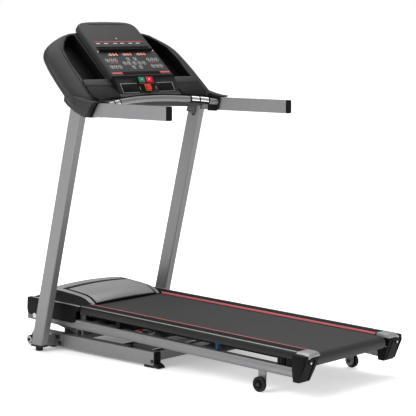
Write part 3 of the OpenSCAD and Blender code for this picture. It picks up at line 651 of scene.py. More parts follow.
@dataclass
class Structure:
    """The base, uprights and handrails, in millimetres; a bolt's place is in YZ."""

    tube_radius: float = 5.0
    tube_inner: float = 259.0
    tube_outer: float = 301.0
    bracket_bolts: tuple[Point2, ...] = ((646, 56), (634, 28))
    plug_bolt: Point2 = (34, 30)
    wheel_bolt: Point2 = (828, 22)
    mast_bolt: Point2 = (410, 1078)
    bolt_edge: float = 0.6

    def build(self) -> None:
        """Makes every piece of the fixed structure."""
        for node in ("left_upright", "right_upright", "left_handrail", "right_handrail"):
            softened(node, COAT, self.tube_radius, 4)
        softened("handrail_caps", BLACK, 3.5, 4, 50.0)
        softened("handrail_collars", BLACK, 2.5)
        softened("base_frame", COAT, 2.0, 2)
        softened("upright_brackets", COAT, 1.5, 2)
        softened("base_feet", RUBBER, 2.0)
        softened("deck_stops", RUBBER, 2.5)
        softened("upright_feet", RUBBER, 1.2)
        paint("lift_pins", BOLT)
        self.bolts()
        self.end_caps()
        self.seams()

    def bolts(self) -> None:
        """Domed bolt heads at the brackets, plugs, masts and transport wheels."""
        form = Form()
        for spot in self.bracket_bolts:
            form.rod((307, *spot), 10.5, 6).rod((311, *spot), 8.5, 3, far=5.5)
        spot = self.plug_bolt
        form.rod((301.5, *spot), 8.0, 4).rod((305, *spot), 6.5, 3, far=4.0)
        spot = self.wheel_bolt
        form.rod((327.5, *spot), 8.5, 4).rod((330.5, *spot), 6.5, 2.5, far=4)
        form.rod((312, *spot), 5.0, 27).rod((294, *spot), 8.0, 8)
        form.mirror().bevel(self.bolt_edge, 2)
        form.piece("base_bolt_heads", BOLT, "base", "black_bolt", hides=["base_bolts"])
        spot = self.mast_bolt
        mast = Form().rod((363.2, *spot), 9.5, 4, sides=32).rod((360.4, *spot), 7.5, 2.4, far=9.0, sides=32)
        mast.mirror().bevel(self.bolt_edge, 2)
        mast.piece("mast_bolt_heads", BOLT, "base", "black_bolt")

    def end_caps(self) -> None:
        """Plugs that close the base tubes at both ends, and the feet at the rear."""
        form = Form()
        form.box((261, 17, 14), (299, 26, 71)).bevel(3.0, 3)
        form.rod((280, 23, 30), 9, 30, "X", 32)
        form.bevel(1.2, 2, 60.0)
        sole = [(26, 12), (26, 22), (12, 20), (-2, 12), (-8, 3), (-3, 1), (14, 3), (60, 0.4),
                (84, 0.4), (84, 12)]
        foot = Form().prism(sole, self.tube_inner, self.tube_outer)
        foot.bevel(1.4, 2)
        form.mirror()
        form.piece("base_rear_plugs", BLACK, "base", "black_plastic", hides=["base_end_caps"])
        foot.mirror()
        foot.piece("base_rear_feet", RUBBER, "base", "rubber")
        front = Form().box((260, 770, 14), (300, 777, 72)).bevel(2.0, 3).mirror()
        front.piece("base_front_plugs", BLACK, "base", "black_plastic")

    def seams(self) -> None:
        """The sleeve round each base tube and its seam."""
        sleeve = Form().box((258.6, 617, 10.8), (301.4, 662, 73.2)).bevel(3.0, 3).mirror()
        sleeve.piece("base_sleeves", COAT, "base", "steel_paint")
        groove = Form().box((self.tube_inner, 615.4, 11.4), (self.tube_outer, 617.4, 72.6)).mirror()
        groove.piece("base_sleeve_seams", BOLT, "base", "black_bolt")


@dataclass
class Wheels:
    """Rear wheels and front transport wheels, in millimetres."""

    rear_radius: float = 32.4
    rear_width: float = 16.0
    studs: int = 6
    stud_ring: float = 17.0
    core_radius: float = 16.0
    core_width: float = 18.4
    tyre_radius: float = 19.9
    tyre_width: float = 16.5

    def build(self) -> None:
        """Makes all four wheels and their bolts."""
        for side in Side:
            self.rear(side)
            self.transport(side)
        self.bolts()

    def hub(self, node: str) -> Point3:
        """A wheel's centre in millimetres, from its node."""
        low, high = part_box(node)
        mid = (low + high) / 2 / MM
        return mid.x, mid.y, mid.z

    def rear(self, side: Side) -> None:
        """One rear wheel: a moulded tyre, and a stepped hub with studs on both faces."""
        node = f"{side.word}_rear_wheel"
        x, y, z = self.hub(node)
        tyre = Form().rod((x, y, z), self.rear_radius, self.rear_width, sides=64)
        tyre.bevel(3.2, 4)
        tyre.piece(f"{node}_tyre", RUBBER, body_of(node), "rubber", IN_FRAME, [node])
        face = Form()
        for sign in (-1, 1):
            face.rod((x + sign * 8.1, y, z), 22, 1.6, sides=48)
            face.rod((x + sign * 9.4, y, z), 12, 2.0, sides=40)
            for i in range(self.studs):
                turn = math.radians(360 / self.studs * i)
                across, up = self.stud_ring * math.cos(turn), self.stud_ring * math.sin(turn)
                face.rod((x + sign * 9.0, y + across, z + up), 2.0, 1.0, sides=12)
        face.bevel(0.5, 2)
        face.piece(f"{node}_hub", BLACK, body_of(node), "rubber", IN_FRAME)

    def transport(self, side: Side) -> None:
        """One transport wheel: a pale core in a dark tyre."""
        node = f"{side.word}_transport_wheel"
        x, y, z = self.hub(node)
        core = Form().rod((x, y, z), self.core_radius, self.core_width, sides=48).bevel(1.0, 2)
        core.piece(f"{node}_core", WHEEL, body_of(node), "light_wheel", IN_FRAME, [node])
        tyre = Form().rod((x, y, z), self.tyre_radius, self.tyre_width, sides=48).bevel(3.0, 3)
        tyre.piece(f"{node}_tyre", RUBBER, body_of(node), "light_wheel", IN_FRAME)

    def bolts(self) -> None:
        """Axle bolts with a washer and a hex nut, on the deck."""
        low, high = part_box("wheel_bolts")
        y, z = ((low + high) / 2 / MM).yz
        form = Form()
        form.rod((307, y, z), 4.8, 32, sides=24)
        form.rod((290.4, y, z), 12.5, 1.6, sides=36)
        form.rod((287.2, y, z), 9.0, 5.0, sides=6)
        form.rod((321.5, y, z), 8.5, 4, sides=6)
        form.bevel(0.5, 2).mirror()
        form.piece("wheel_bolt_set", BOLT, "deck", "black_bolt", IN_FRAME, ["wheel_bolts"])
        ring = Form().rod((289.6, y, z), 17.0, 1.8, sides=48).bevel(0.5, 2).mirror()
        ring.piece("wheel_washers", COAT, "deck", "steel_paint", IN_FRAME)


# ---------------------------------------------------------------- deck


@dataclass
class Deck:
    """The running deck: frame, belt, foot rails and rear caps, in millimetres from the fold pivot."""

    front: float = -312.0
    rear: float = -1597.0
    inner: float = 232.0
    outer: float = 300.0
    top: float = 89.0
    skirt: float = 54.0
    ribs: int = 7
    cap_length: float = 71.0
    cap_inner: float = 240.0
    cap_outer: float = 331.0
    cap_flare_to: float = 30.0
    screw: Point2 = (292, 52)
    clips: tuple[Point2, ...] = ((-560, 22), (-1500, 14), (-1528, 5), (-1556, 30))

    def build(self) -> None:
        """Makes every piece of the deck."""
        softened("deck_frame", COAT, 1.6, 2)
        softened("deck_end_caps", BLACK, 1.5)
        paint("deck_board", BOARD)
        paint("running_belt", BELT)
        softened("deck_cushions", RUBBER, 2.0)
        softened("deck_bumpers", BLUE, 2.0)
        for node in ("roller_axles", "front_roller", "rear_roller"):
            paint(node, ZINC)
        for side in Side:
            self.rail(side)
            self.cap(side)
        self.rear_brackets()
        self.trims()

    def rail(self, side: Side) -> None:
        """One foot rail: a rounded top over a skirt, with grip ribs, a red inner strip and a silver strip that
        paints the highlight on its outer top edge.
        """
        node = f"{side.word}_foot_rail"
        lo, hi, t, s = self.inner, self.outer, self.top, self.skirt
        back, fore = self.rear, self.front
        outline = [(lo, 80), (lo, t - 2), (lo + 3, t), (hi - 9, t), (hi - 3, t - 3), (hi, t - 9), (hi, s),
                   (hi - 4, s), (hi - 4, t - 9), (hi - 10, t - 4), (lo + 4, t - 4), (lo + 4, 80)]
        form = Form()
        form.prism(outline, 0.0, fore - back, "Z")
        form.warp(lambda p: (p.x, back + p.z, p.y))
        bmesh.ops.recalc_face_normals(form.bm, faces=form.bm.faces[:])
        form.bevel(0.8, 2, 30.0)
        form.to_side(side).piece(f"{node}_form", SKIRT, "deck", "black_plastic", DECK, [node])
        ribs = Form()
        pitch = (hi - lo - 24) / self.ribs
        for i in range(self.ribs):
            x = lo + 9 + pitch * i
            ribs.box((x, back + 4, t - 0.4), (x + pitch * 0.55, fore - 4, t + 1.1))
        ribs.bevel(0.4, 1)
        ribs.to_side(side).piece(f"{node}_ribs", RUBBER, "deck", "black_plastic", DECK)
        strip = Form().box((lo - 1.2, back + 2, 81.5), (lo + 1.0, fore - 1, t - 0.6))
        strip.box((lo - 1.2, back + 2, t - 1.2), (lo + 2.4, fore - 1, t + 0.7)).bevel(0.3, 1)
        strip.to_side(side).piece(f"{node}_red_strip", PALE_RED, "deck", "red_plastic", DECK)
        # A silver strip along the outer top edge paints the highlight of the rounded edge.
        edge = Form().box((hi - 8.0, back + 3, t - 2.6), (hi - 4.4, fore - 2, t + 0.5)).bevel(0.8, 2)
        edge.to_side(side).piece(f"{node}_edge_trim", SILVER_TRIM_AND_HIGHLIGHT, "deck", "steel_paint", DECK)
        seam = Form().box((hi - 0.6, back + 3, 63), (hi + 0.5, fore - 2, 64.2))
        seam.to_side(side).piece(f"{node}_seam", BOLT, "deck", "black_plastic", DECK)

    def flare(self, spot: Vector) -> Point3:
        """A rear cap's point, moved out towards its foot: the inner wall by 10, the outer by -9."""
        part = max(0.0, (self.cap_flare_to - spot.z) / 60)
        return spot.x + (10 * part if spot.x < 280 else -9 * part), spot.y, spot.z

    def cap(self, side: Side) -> None:
        """One rear cap: a flared body with a rounded grey cover, ribs and the belt's adjuster."""
        node = f"{side.word}_rear_cap"
        y0, y1 = self.rear, self.rear - self.cap_length
        profile = [(y0, -33), (y1 + 38, -33), (y1 + 3, 60), (y1 + 4, 78), (y1 + 8, 80), (y0, 82)]
        body = Form().prism(profile, self.cap_inner, self.cap_outer)
        body.slice("Z", (20.0, 50.0))
        body.warp(self.flare)
        body.bevel(4.0, 4, 35.0)
        body.to_side(side).piece(f"{node}_body", BLACK, "deck", "black_plastic", DECK, [node])
        profile = [(y0 - 2, 80), (y0 - 2, 90.0), (y0 - 10, 91.4), (y1 + 26, 91.4), (y1 + 9, 87.5),
                   (y1 + 1, 79), (y1 + 2, 74), (y0 - 2, 74)]
        cover = Form().prism(profile, 233, 306)
        cover.slice("X", (286.0, 296.0))
        cover.warp(lambda p: (p.x, p.y, p.z - 0.012 * max(0.0, p.x - 284) ** 2))
        cover.bevel(2.0, 3, 50.0)
        cover.to_side(side).piece(f"{node}_cover", HOOD, "deck", "grey_plastic", DECK)
        ribs = Form()
        for x in (262, 322):
            ribs.prism([(y1 + 34, -28), (y1 - 1, 60), (y1 + 4, 62), (y1 + 39, -26)], x, x + 3)
        ribs.bevel(0.8, 2)
        ribs.to_side(side).piece(f"{node}_ribs", BLACK, "deck", "black_plastic", DECK)
        x, z = self.screw
        socket = Form().rod((x, y1 + 6, z), 11, 6, "Y", 3).bevel(1.0, 2)
        socket.to_side(side).piece(f"{node}_socket", POCKET, "deck", "black_plastic", DECK)
        head = Form().rod((x, y1 + 1.5, z), 5.5, 5, "Y", 6).bevel(0.8, 2)
        head.to_side(side).piece(f"{node}_adjuster", ZINC, "deck", "zinc", DECK)

    def rear_brackets(self) -> None:
        """Bent straps that hold the rear roller's axle."""
        strap = [(-1560, 22), (-1590, 22), (-1606, 30), (-1650, 34), (-1650, 38), (-1604, 34), (-1588, 26),
                 (-1560, 26)]
        form = Form().prism(strap, 236, 262)
        form.bevel(0.8, 2).mirror()
        form.piece("roller_straps", COAT, "deck", "steel_paint", DECK)

    def trims(self) -> None:
        """Dark frame clips beside the board."""
        form = Form()
        for y, width in self.clips:
            form.box((272, y - width / 2, 19.5), (296, y + width / 2, 60))
        form.bevel(2.0, 2).mirror()
        form.piece("deck_clips", BLACK, "deck", "black_plastic", DECK)


@dataclass
class MotorBay:
    """The hood, its sides, the pan, the motor and the inlet, in millimetres from the fold pivot."""

    half: float = 224.0
    crown: float = 10.0
    groove_inset: float = 22.0
    panel_inset: float = 34.0
    side_reach: float = 298.0
    side_sag: float = 6.0

    def rise(self, x: float) -> float:
        """How much the hood's crown lifts at a distance from the middle."""
        return self.crown * (1.0 - min(1.0, abs(x) / self.half) ** 2)

    def build(self) -> None:
        """Makes the motor bay's pieces."""
        self.shell()
        self.sides()
        paint("motor_pan", BLACK)
        paint("drive_motor", MOTOR)
        paint("motor_rotor", ZINC)
        paint("drive_belt", RUBBER)
        softened("power_inlet", BLACK, 1.0, 2)
        softened("power_switch", RED, 0.5, 2)

    def crowned(self, outline: Sequence[Point2], half: float) -> Form:
        """A profile across the hood, with the crown worked in."""
        form = Form().prism(outline, -half, half)
        form.slice("X", [half * i / 8 for i in range(-7, 8)])
        form.warp(lambda p: (p.x, p.y, p.z + self.rise(p.x) * max(0.0, min(1.0, (p.z - 70) / 30))))
        return form

    def shell(self) -> None:
        """The grey top with a raised middle panel in a black groove."""
        top = [(56, 24), (49, 78), (38, 92), (18, 105), (-6, 121), (-28, 128), (-50, 128.5), (-84, 126.8),
               (-112, 125), (-190, 120), (-240, 115), (-268, 108), (-288, 98), (-302, 90), (-311, 84)]
        low = [(-306, 82), (-286, 92), (-266, 102), (-238, 110), (-190, 115), (-110, 119), (-32, 118),
               (14, 98), (44, 76), (50, 24)]
        form = self.crowned(top + low, self.half)
        form.bevel(4.0, 4, 60.0)
        form.piece("hood_top", HOOD, "deck", "grey_plastic", DECK, ["motor_hood"])
        mid = [(-84, 127.4), (-112, 125.7), (-190, 121.0), (-240, 116.0), (-268, 109.0), (-288, 99.0),
               (-302, 91.0), (-312.5, 83.5), (-308, 81), (-286, 94), (-240, 110), (-110, 119), (-84, 119)]
        groove = self.crowned(mid, self.half - self.groove_inset)
        groove.bevel(0.8, 2)
        groove.piece("hood_groove", POCKET, "deck", "black_plastic", DECK)
        lift = [(-111, 125.0), (-116, 127.0), (-150, 125.4), (-190, 123.4), (-240, 118.4), (-268, 111.4),
                (-288, 101.8), (-300, 94.6), (-306, 90.0), (-307, 86.5), (-300, 84), (-286, 94), (-240, 110),
                (-120, 119), (-111, 119)]
        panel = self.crowned(lift, self.half - self.panel_inset)
        panel.bevel(2.2, 3, 50.0)
        panel.piece("hood_centre_panel", HOOD, "deck", "grey_plastic", DECK)

    def flank(self) -> Form:
        """One sloping side, from the hood's edge down to the ledge."""
        top = [(50, 76), (38, 90), (18, 103), (-28, 126), (-110, 123.5), (-190, 118.5), (-240, 113),
               (-268, 106), (-288, 96), (-310, 88)]
        rim = [(50, 70), (46, 80), (36, 86), (0, 88), (-80, 88.5), (-160, 88.5), (-230, 88.5), (-268, 88.5),
               (-290, 88.5), (-312, 87)]
        start = self.half - 3
        rings = []
        for part in (0.0, 0.25, 0.5, 0.75, 1.0):
            x = start + part * (self.side_reach - start)
            sag = self.side_sag * math.sin(math.pi * part)
            outline = [(y, z - sag) for y, z in mixed(top, rim, part)]
            rings.append([(x, y, z) for y, z in outline + [(-300, 74), (44, 66)]])
        return Form().loft(rings).bevel(1.6, 2, 50.0)

    def sides(self) -> None:
        """Black sloping sides, the ledges and skirts under them, and the front wall; the ledges are silver to
        paint the highlight along that edge.
        """
        hem = [(50, 8), (55, 30), (52, 84), (-309, 86), (-309, 66), (-286, 60), (-286, 26), (-282, 14),
               (-272, 6), (-255, 4), (40, 4)]
        for side in Side:
            flank = self.flank().to_side(side)
            flank.piece(f"hood_side_{side.word}", BLACK, "deck", "black_plastic", DECK)
            # The silver ledge paints the highlight that runs along the hood's lower edge, in line with the foot
            # rails'.
            ledge = Form().box((294, -310, 85.5), (301.5, 44, 89.2)).bevel(1.2, 2)
            ledge.to_side(side).piece(f"hood_ledge_{side.word}", SILVER_TRIM_AND_HIGHLIGHT, "deck", "steel_paint", DECK)
            skirt = Form().prism(hem, 296, 304.5).bevel(2.4, 3)
            skirt.to_side(side).piece(f"hood_skirt_{side.word}", BLACK, "deck", "black_plastic", DECK)
        wall = [(57, 6), (57.5, 40), (51, 78), (44, 78), (46, 6)]
        nose = Form().prism(wall, -self.side_reach, self.side_reach).slice("X", (-285.0, 285.0))
        nose.bevel(4.0, 3, 50.0)
        nose.piece("hood_nose", BLACK, "deck", "black_plastic", DECK)


# ---------------------------------------------------------------- lift


@dataclass
class LiftGear:
    """The lift frame, the incline drive and the fold strut."""

    def build(self) -> None:
        """Makes the lift and fold pieces."""
        softened("lift_frame", COAT, 1.2, 2)
        softened("tilt_cradle", DARK_COAT, 0.8, 2)
        paint("pivot_shaft", ZINC)
        softened("incline_motor", MOTOR, 1.2, 2)
        paint("incline_screw", ZINC)
        paint("strut_cylinder", MOTOR)
        paint("strut_rod", ZINC)
        softened("release_sleeve", KEY, 1.5, 3)


# ---------------------------------------------------------------- console


@dataclass
class Console:
    """The control console and everything on it, in millimetres up the panel's slope."""

    count: int = 96
    rim_depth: float = -33.0
    flank_drop: float = 45.0
    back_drop: float = 40.0
    panel_depth: float = -31.0
    mat_low: float = -83.2
    mat_high: float = -82.0
    key_radius: float = 10.5
    ring_radius: float = 12.0
    speaker_bars: int = 20
    speaker_pitch: float = 12.0
    bar_radius: float = 926.0
    grip_rings: tuple[float, ...] = (233, 280, 327)

    RIM = [(0, 318), (187, 318), (237, 312), (277, 298), (312, 265), (340, 225), (356, 166), (362, 72),
           (366, 8), (370, -38), (368, -96), (346, -122), (200, -104), (0, -89)]
    FLANK = [(0, 322), (187, 322), (237, 320), (285, 310), (328, 293), (364, 274), (395, 251), (421, 220),
             (433, 188), (443, 122), (448, 62), (451, -4), (452, -70), (438, -108), (372, -124), (200, -105),
             (0, -90)]
    BACK = [(0, 262), (180, 262), (290, 225), (350, 150), (372, 40), (372, -60), (300, -92), (0, -84)]

    def build(self) -> None:
        """Makes the console's pieces."""
        self.housing()
        self.front()
        self.pockets()
        self.panel()
        self.prints()
        self.keypad()
        self.fascia()
        self.controls()
        self.bar()
        softened("console_support", DARK_COAT, 1.5, 2)

    def housing(self) -> None:
        """The rounded shell from the rim to the back."""
        rim, flank, back = (ring_of(half, self.count) for half in (self.RIM, self.FLANK, self.BACK))
        rings = []
        for part in (0.0, 0.2, 0.45, 0.7, 0.88, 1.0):
            turn = part * math.pi / 2
            w = self.rim_depth - self.flank_drop * (1 - math.cos(turn))
            rings.append([(x, y, w) for x, y in mixed(rim, flank, math.sin(turn) ** 1.15)])
        for part in (0.15, 0.35, 0.6, 0.8, 0.93, 1.0):
            turn = part * math.pi / 2
            w = self.rim_depth - self.flank_drop - self.back_drop * math.sin(turn)
            rings.append([(x, y, w) for x, y in mixed(flank, back, 1 - math.cos(turn))])
        form = Form().loft(rings, (False, True))
        form.piece("console_shell", SHELL, "base", "black_plastic", CONSOLE, ["console_housing"], smooth=60.0)
        for side in Side:
            self.tip(side)

    def tip(self, side: Side) -> None:
        """The shell's lower tip, which runs down over the handrail, and its inner face."""
        outline = [(440, 1165), (416, 1143), (377, 1120), (330, 1101), (308, 1096), (292, 1112), (277, 1136),
                   (260, 1158), (246, 1167), (290, 1171), (330, 1178), (380, 1190), (430, 1200)]
        tip = Form().prism(outline, 402, 436)
        tip.slice("X", (418.0,))
        tip.warp(lambda p: (p.x + 10 * max(0.0, (p.z - 1120) / 80) if p.x > 410 else p.x, p.y, p.z))
        tip.bevel(7.0, 4, 50.0)
        tip.to_side(side).piece(f"console_tip_{side.word}", SHELL, "base", "black_plastic")
        outline = [(238, 1160), (244, 1167), (318, 1167), (318, 1096), (262, 1096), (252, 1106)]
        inner = Form().prism(outline, 366.4, 370.6).bevel(1.2, 2)
        inner.to_side(side).piece(f"console_tip_inner_{side.word}", BLACK, "base", "black_plastic")

    def swell(self, spot: Vector) -> Point3:
        """The apron's point, with its face swelling 3 across the width."""
        rise = 3.0 * math.sin((spot.x - 198) / 170 * math.pi) if spot.z > -28 else 0
        return spot.x, spot.y, spot.z + rise

    def front(self) -> None:
        """The bezel round the pockets, the black apron under them and the grey band between."""
        softened("console_bezel", SHELL, 1.8, 3)
        outline = [(198, -34), (362, -30), (367, -44), (366, -96), (344, -119), (200, -103)]
        form = Form().prism(outline, self.panel_depth, -25, "Z")
        form.slice("X", (240.0, 290.0, 330.0))
        form.warp(self.swell)
        form.bevel(1.6, 3).mirror()
        form.piece("console_apron", POCKET, "base", "black_plastic", CONSOLE)
        band = Form().prism([(196, 10), (358, 10), (366, -30), (198, -34)], self.panel_depth, -22, "Z")
        band.bevel(3.0, 3).mirror()
        band.piece("console_grey_band", SHELL, "base", "black_plastic", CONSOLE)

    def pockets(self) -> None:
        """The two deep side pockets, each with a raised frame on its floor."""
        for side in Side:
            node = f"{side.word}_holder"
            softened(node, POCKET, 2.0, 2)
            low, high = self.mat_low, self.mat_high
            mat = Form().box((214, 20, low), (342, 24, high)).box((214, 200, low), (330, 204, high))
            mat.box((212, 24, low), (216, 200, high)).bevel(0.5, 1)
            mat.to_side(side).piece(f"{node}_mat", POCKET, "base", "black_plastic", CONSOLE)

    def panel(self) -> None:
        """The control panel: a thick slab with rounded shoulders and a raised crest."""
        half = [(0, 362), (100, 360.5), (146, 355), (170, 345), (182, 330), (187, 312), (190, 200), (196, 0)]
        ring = half + [(-x, y) for x, y in half[:0:-1]]
        form = Form().prism(ring, self.panel_depth, 0, "Z")
        form.bevel(6.0, 5, 60.0, keep=lambda e: all(v.co.z > -1 for v in e.verts))
        form.bevel(2.0, 2, 60.0)
        form.piece("console_slab", PANEL, "base", "panel_plastic", CONSOLE, ["console_panel"], smooth=30.0)
        crest = Form().prism([(-96, 354), (96, 354), (112, 341), (-112, 341)], -1, 1.6, "Z").bevel(1.0, 3)
        crest.piece("console_crest", PANEL, "base", "panel_plastic", CONSOLE)
        ledge = Form().box((-168, 161, -1), (168, 192, 2.5)).bevel(1.6, 2)
        ledge.piece("media_ledge", POCKET, "base", "black_plastic", CONSOLE)
        lip = Form().box((-166, 158, -1), (166, 165, 16)).bevel(2.6, 4)
        for y in (170, 178, 186):
            lip.box((-162, y, 2.2), (162, y + 2, 4.2))
        lip.piece("media_ledge_lip", BLACK, "base", "black_plastic", CONSOLE)
        screws = Form()
        for x in (-176, 176):
            screws.rod((x, 160, 0.6), 3.2, 1.6, "Z", 20)
        screws.bevel(0.4, 2)
        screws.piece("ledge_screws", ZINC, "base", "zinc", CONSOLE)

    def prints(self) -> None:
        """Printed lines, tick marks and lit read-outs, with no lettering."""
        red = Form().box((-156, 224, -0.2), (156, 226.2, 0.5))
        red.box((-184, 16, -0.2), (-122, 24, 0.6)).box((122, 16, -0.2), (184, 24, 0.6))
        red.box((-150, 84.0, -0.2), (-98, 85.4, 0.4)).box((98, 84.0, -0.2), (150, 85.4, 0.4))
        red.piece("panel_red_prints", RED, "base", "red_plastic", CONSOLE)
        marks = Form()
        for x in (-138, -88, -30, 14, 68, 116):
            marks.box((x - 12, 211, -0.2), (x + 12, 215.5, 0.4))
        marks.rod((0, 246, 0.0), 5.5, 0.7, "Z", 3)
        marks.piece("panel_tick_marks", MARK, "base", "panel_plastic", CONSOLE)
        window, digits = Form(), Form()
        for x in (-92, -2, 88):
            window.box((x - 36, 128, -0.5), (x + 36, 152, 0.9))
            for i in range(3):
                self.digit(digits, x - 20 + 19 * i, 132)
        window.bevel(0.8, 2)
        window.piece("display_windows", WINDOW, "base", "panel_plastic", CONSOLE)
        digits.piece("display_digits", DIGIT, "base", "red_plastic", CONSOLE)

    def digit(self, form: Form, x: float, y: float) -> None:
        """Adds one seven-bar figure, all bars lit."""
        for low in (0.0, 7.0, 14.0):
            form.box((x - 3.6, y + low, 0.8), (x + 3.6, y + low + 2.0, 1.3))
        for dx in (-5.0, 3.4):
            for low in (1.6, 8.6):
                form.box((x + dx, y + low, 0.8), (x + dx + 1.7, y + low + 5.2, 1.3))

    def keypad(self) -> None:
        """Raised membrane keys with plain printed shapes, and the speaker slot under them."""
        keys, rings, glyphs = Form(), Form(), Form()
        places = [(x, y) for x in (-158, -132, -106, 106, 132, 158) for y in (60, 102)]
        places += [(-62, 82), (62, 82), (-22, 108), (22, 108), (-22, 56), (22, 56)]
        places += [(-34, 82), (34, 82), (0, 82)]
        for x, y in places:
            keys.rod((x, y, 0.4), self.key_radius, 1.4, "Z", 24, far=self.key_radius - 1.3)
            rings.rod((x, y, 0.25), self.ring_radius, 0.9, "Z", 24)
            glyphs.box((x - 4.5, y + 1.2, 1.0), (x + 4.5, y + 4.0, 1.4))
            glyphs.box((x - 3.0, y - 4.4, 1.0), (x + 3.0, y - 1.6, 1.4))
        keys.piece("keypad_keys", PANEL, "base", "panel_plastic", CONSOLE)
        rings.piece("keypad_rings", SOFT_MARK, "base", "panel_plastic", CONSOLE)
        glyphs.piece("keypad_glyphs", MARK, "base", "panel_plastic", CONSOLE)
        slot = Form().box((-120, 8, -1), (120, 28, 0.9)).bevel(1.5, 2)
        slot.piece("speaker_slot", POCKET, "base", "black_plastic", CONSOLE)
        bars = Form()
        for i in range(self.speaker_bars):
            x = self.speaker_pitch * (i - (self.speaker_bars - 1) / 2)
            bars.box((x - 2, 9, 0.6), (x + 2, 27, 2.6))
        bars.bevel(0.5, 1)
        bars.piece("speaker_bars", BLACK, "base", "black_plastic", CONSOLE)

    def fascia(self) -> None:
        """The steep black fascia with two trays in silver trim."""
        softened("console_fascia", BLACK, 1.0, 2)
        trim, tray = Form(), Form()
        tray.box((66, -82, -3), (166, -42, 0.4)).bevel(1.6, 2)
        trim.box((64, -40, 0), (168, -37, 2)).box((165, -84, 0), (168, -37, 2))
        trim.box((64, -84, 0), (168, -81.6, 1.2)).box((50, -72, 0), (53, -56, 1.6))
        trim.bevel(0.6, 2)
        trim.mirror().piece("tray_trims", SILVER_TRIM_AND_HIGHLIGHT, "base", "chrome", FASCIA)
        tray.mirror().piece("tray_floors", POCKET, "base", "black_plastic", FASCIA)
        line = Form().box((-44, -40, -0.2), (48, -38, 1.0)).box((46, -40, -0.2), (48, -6, 1.0))
        line.piece("fascia_red_line", RED, "base", "red_plastic", FASCIA)

    def controls(self) -> None:
        """Start and stop buttons with plain symbols, and the safety key."""
        softened("start_button", GREEN, 1.4, 3)
        softened("stop_button", STOP, 1.4, 3)
        softened("safety_key", KEY, 2.0, 3)
        start = Form().rod((-23, -20, 3.1), 5.2, 0.5, "Z", 3)
        start.piece("start_symbol", MARK, "start button", "green_plastic", FASCIA)
        stop = Form().box((19.0, -24.0, 2.9), (27.0, -16.0, 3.4)).bevel(0.2, 1)
        stop.piece("stop_symbol", MARK, "stop button", "red_plastic", FASCIA)
        rim = Form().box((-17, -78, -0.4), (17, -44, 1.4)).bevel(1.4, 3)
        rim.piece("key_rim", KEY_RIM, "base", "red_plastic", FASCIA)

    def bar(self) -> None:
        """The pulse bar with its grips and sensor plates."""
        paint("pulse_bar", COAT)
        paint("pulse_grips", BLACK)
        paint("pulse_sensors", CHROME)
        rings = Form()
        for x in self.grip_rings:
            for sign in (-1, 1):
                ring = Form().rod((0, self.bar_radius, 0), 18.0, 5.5, "X", 32)
                ring.turn(Matrix.Rotation(-sign * math.asin(x / self.bar_radius), 4, "Z"))
                part = bpy.data.meshes.new("ring_part")
                ring.bm.to_mesh(part)
                ring.bm.free()
                rings.bm.from_mesh(part)
                bpy.data.meshes.remove(part)
        rings.bevel(1.0, 2)
        middle = BAR @ Matrix.Translation((0, -self.bar_radius * MM, 0))
        rings.piece("pulse_grip_rings", BLACK, "base", "black_plastic", middle)


# ---------------------------------------------------------------- studio


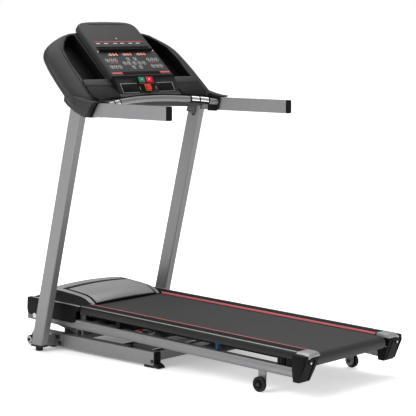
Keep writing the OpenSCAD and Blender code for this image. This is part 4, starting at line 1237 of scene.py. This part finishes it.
@dataclass
class Studio:
    """The floor, the lights and the camera, in metres; the camera looks along a direction."""

    lens: float = 133.0
    sensor: float = 36.0
    spot: Point3 = (-4.999, -4.650, 1.497)
    look: Point3 = (0.72882, 0.67448, -0.11789)
    ambient: float = 0.36
    floor_half: float = 30.0
    floor_drop: float = 0.0003
    # The floor's painted shadow under the machine: it fades to white between these distances from the middle, and
    # darkens towards the front between these places along Y.
    pool_edge: Point2 = (0.9, 2.6)
    pool_front: Point2 = (-0.30, 0.35)

    def build(self) -> None:
        """Makes the floor, lights, world and camera."""
        self.floor()
        self.world()
        self.lamp("key", (-4.2, 1.4, 3.4), (0.0, 0.1, 0.5), 3.0, 160.0)
        self.lamp("top", (0.8, 0.8, 5.2), (0.0, 0.0, 0.3), 5.0, 215.0)
        self.lamp("fill", (3.6, -2.6, 2.6), (0.0, 0.0, 0.6), 3.0, 4.0)
        self.camera()

    def floor(self) -> None:
        """A pale floor that glows white far out; under the machine its glow paints a shadow, darkest under the
        front.
        """
        net = Net("studio_floor")
        shade = net.noise(0.6, 2.0)
        net.set("Base Color", net.blend(shade, (0.93, 0.93, 0.93, 1.0), (0.96, 0.96, 0.96, 1.0)))
        net.set("Roughness", 0.95)
        net.set("Specular IOR Level", 0.0)
        coords = net.node("ShaderNodeTexCoord", output="Object")
        reach = net.node("ShaderNodeVectorMath", {"operation": "LENGTH"}, {0: coords}, "Value")
        far = self.ramp(net, reach, self.pool_edge)
        along = net.node("ShaderNodeSeparateXYZ", {}, {0: coords}, 1)
        front = self.ramp(net, along, self.pool_front)
        # Painted shadow under the machine: a flat glow of 0.56 at the rear falling to 0.20 under the front.
        painted_shadow_glow = net.blend(front, (0.56, 0.56, 0.56, 1.0), (0.20, 0.20, 0.20, 1.0))
        glow = net.blend(far, painted_shadow_glow, (1.0, 1.0, 1.0, 1.0))
        net.set("Emission Color", glow)
        net.set("Emission Strength", 1.0)
        form = Form()
        bmesh.ops.create_grid(form.bm, x_segments=1, y_segments=1, size=self.floor_half)
        form.turn(Matrix.Translation((0, 0, -self.floor_drop)))
        mesh = bpy.data.meshes.new("studio_floor")
        form.bm.to_mesh(mesh)
        form.bm.free()
        mesh.materials.append(net.material)
        obj = bpy.data.objects.new("studio_floor", mesh)
        bpy.context.scene.collection.objects.link(obj)

    def ramp(self, net: Net, value: Val, ends: Point2) -> Val:
        """A value that runs from 0 to 1 between two ends."""
        return net.node("ShaderNodeMapRange", {}, {"Value": value, "From Min": ends[0], "From Max": ends[1]})

    def world(self) -> None:
        """Soft white surroundings, which the camera sees at full white."""
        world = bpy.data.worlds.new("studio_world")
        bpy.context.scene.world = world
        world.use_nodes = True
        tree = world.node_tree
        back = tree.nodes["Background"]
        back.inputs["Color"].default_value = (1.0, 1.0, 1.0, 1.0)
        path = tree.nodes.new("ShaderNodeLightPath")
        level = tree.nodes.new("ShaderNodeMath")
        level.operation = "MULTIPLY_ADD"
        level.inputs[1].default_value = 1.0 - self.ambient
        level.inputs[2].default_value = self.ambient
        tree.links.new(path.outputs["Is Camera Ray"], level.inputs[0])
        tree.links.new(level.outputs[0], back.inputs["Strength"])

    def lamp(self, name: str, spot: Point3, aim: Point3, size: float, power: float) -> None:
        """Adds one large soft area light.

        Args:
            name: The light's name.
            spot: Where it hangs.
            aim: What it points at.
            size: The side of its square, in metres.
            power: Its power in watts.
        """
        data = bpy.data.lights.new(name, "AREA")
        data.size = size
        data.energy = power
        obj = bpy.data.objects.new(name, data)
        obj.location = spot
        obj.rotation_euler = (Vector(aim) - Vector(spot)).to_track_quat("-Z", "Y").to_euler()
        bpy.context.scene.collection.objects.link(obj)

    def camera(self) -> None:
        """The camera at the product view."""
        data = bpy.data.cameras.new("camera")
        data.lens = self.lens
        data.sensor_width = self.sensor
        data.clip_end = 100.0
        obj = bpy.data.objects.new("camera", data)
        obj.location = SHIFT @ Vector(self.spot)
        obj.rotation_euler = Vector(self.look).to_track_quat("-Z", "Y").to_euler()
        bpy.context.scene.collection.objects.link(obj)
        bpy.context.scene.camera = obj
        bpy.context.scene.view_settings.view_transform = "Standard"


def main() -> None:
    logging.basicConfig(level=logging.INFO, format="%(name)s %(message)s")
    for part in (Structure(), Wheels(), Deck(), MotorBay(), LiftGear(), Console(), Studio()):
        LOG.info("building %s", type(part).__name__)
        part.build()


if __name__ == "__main__":
    main()
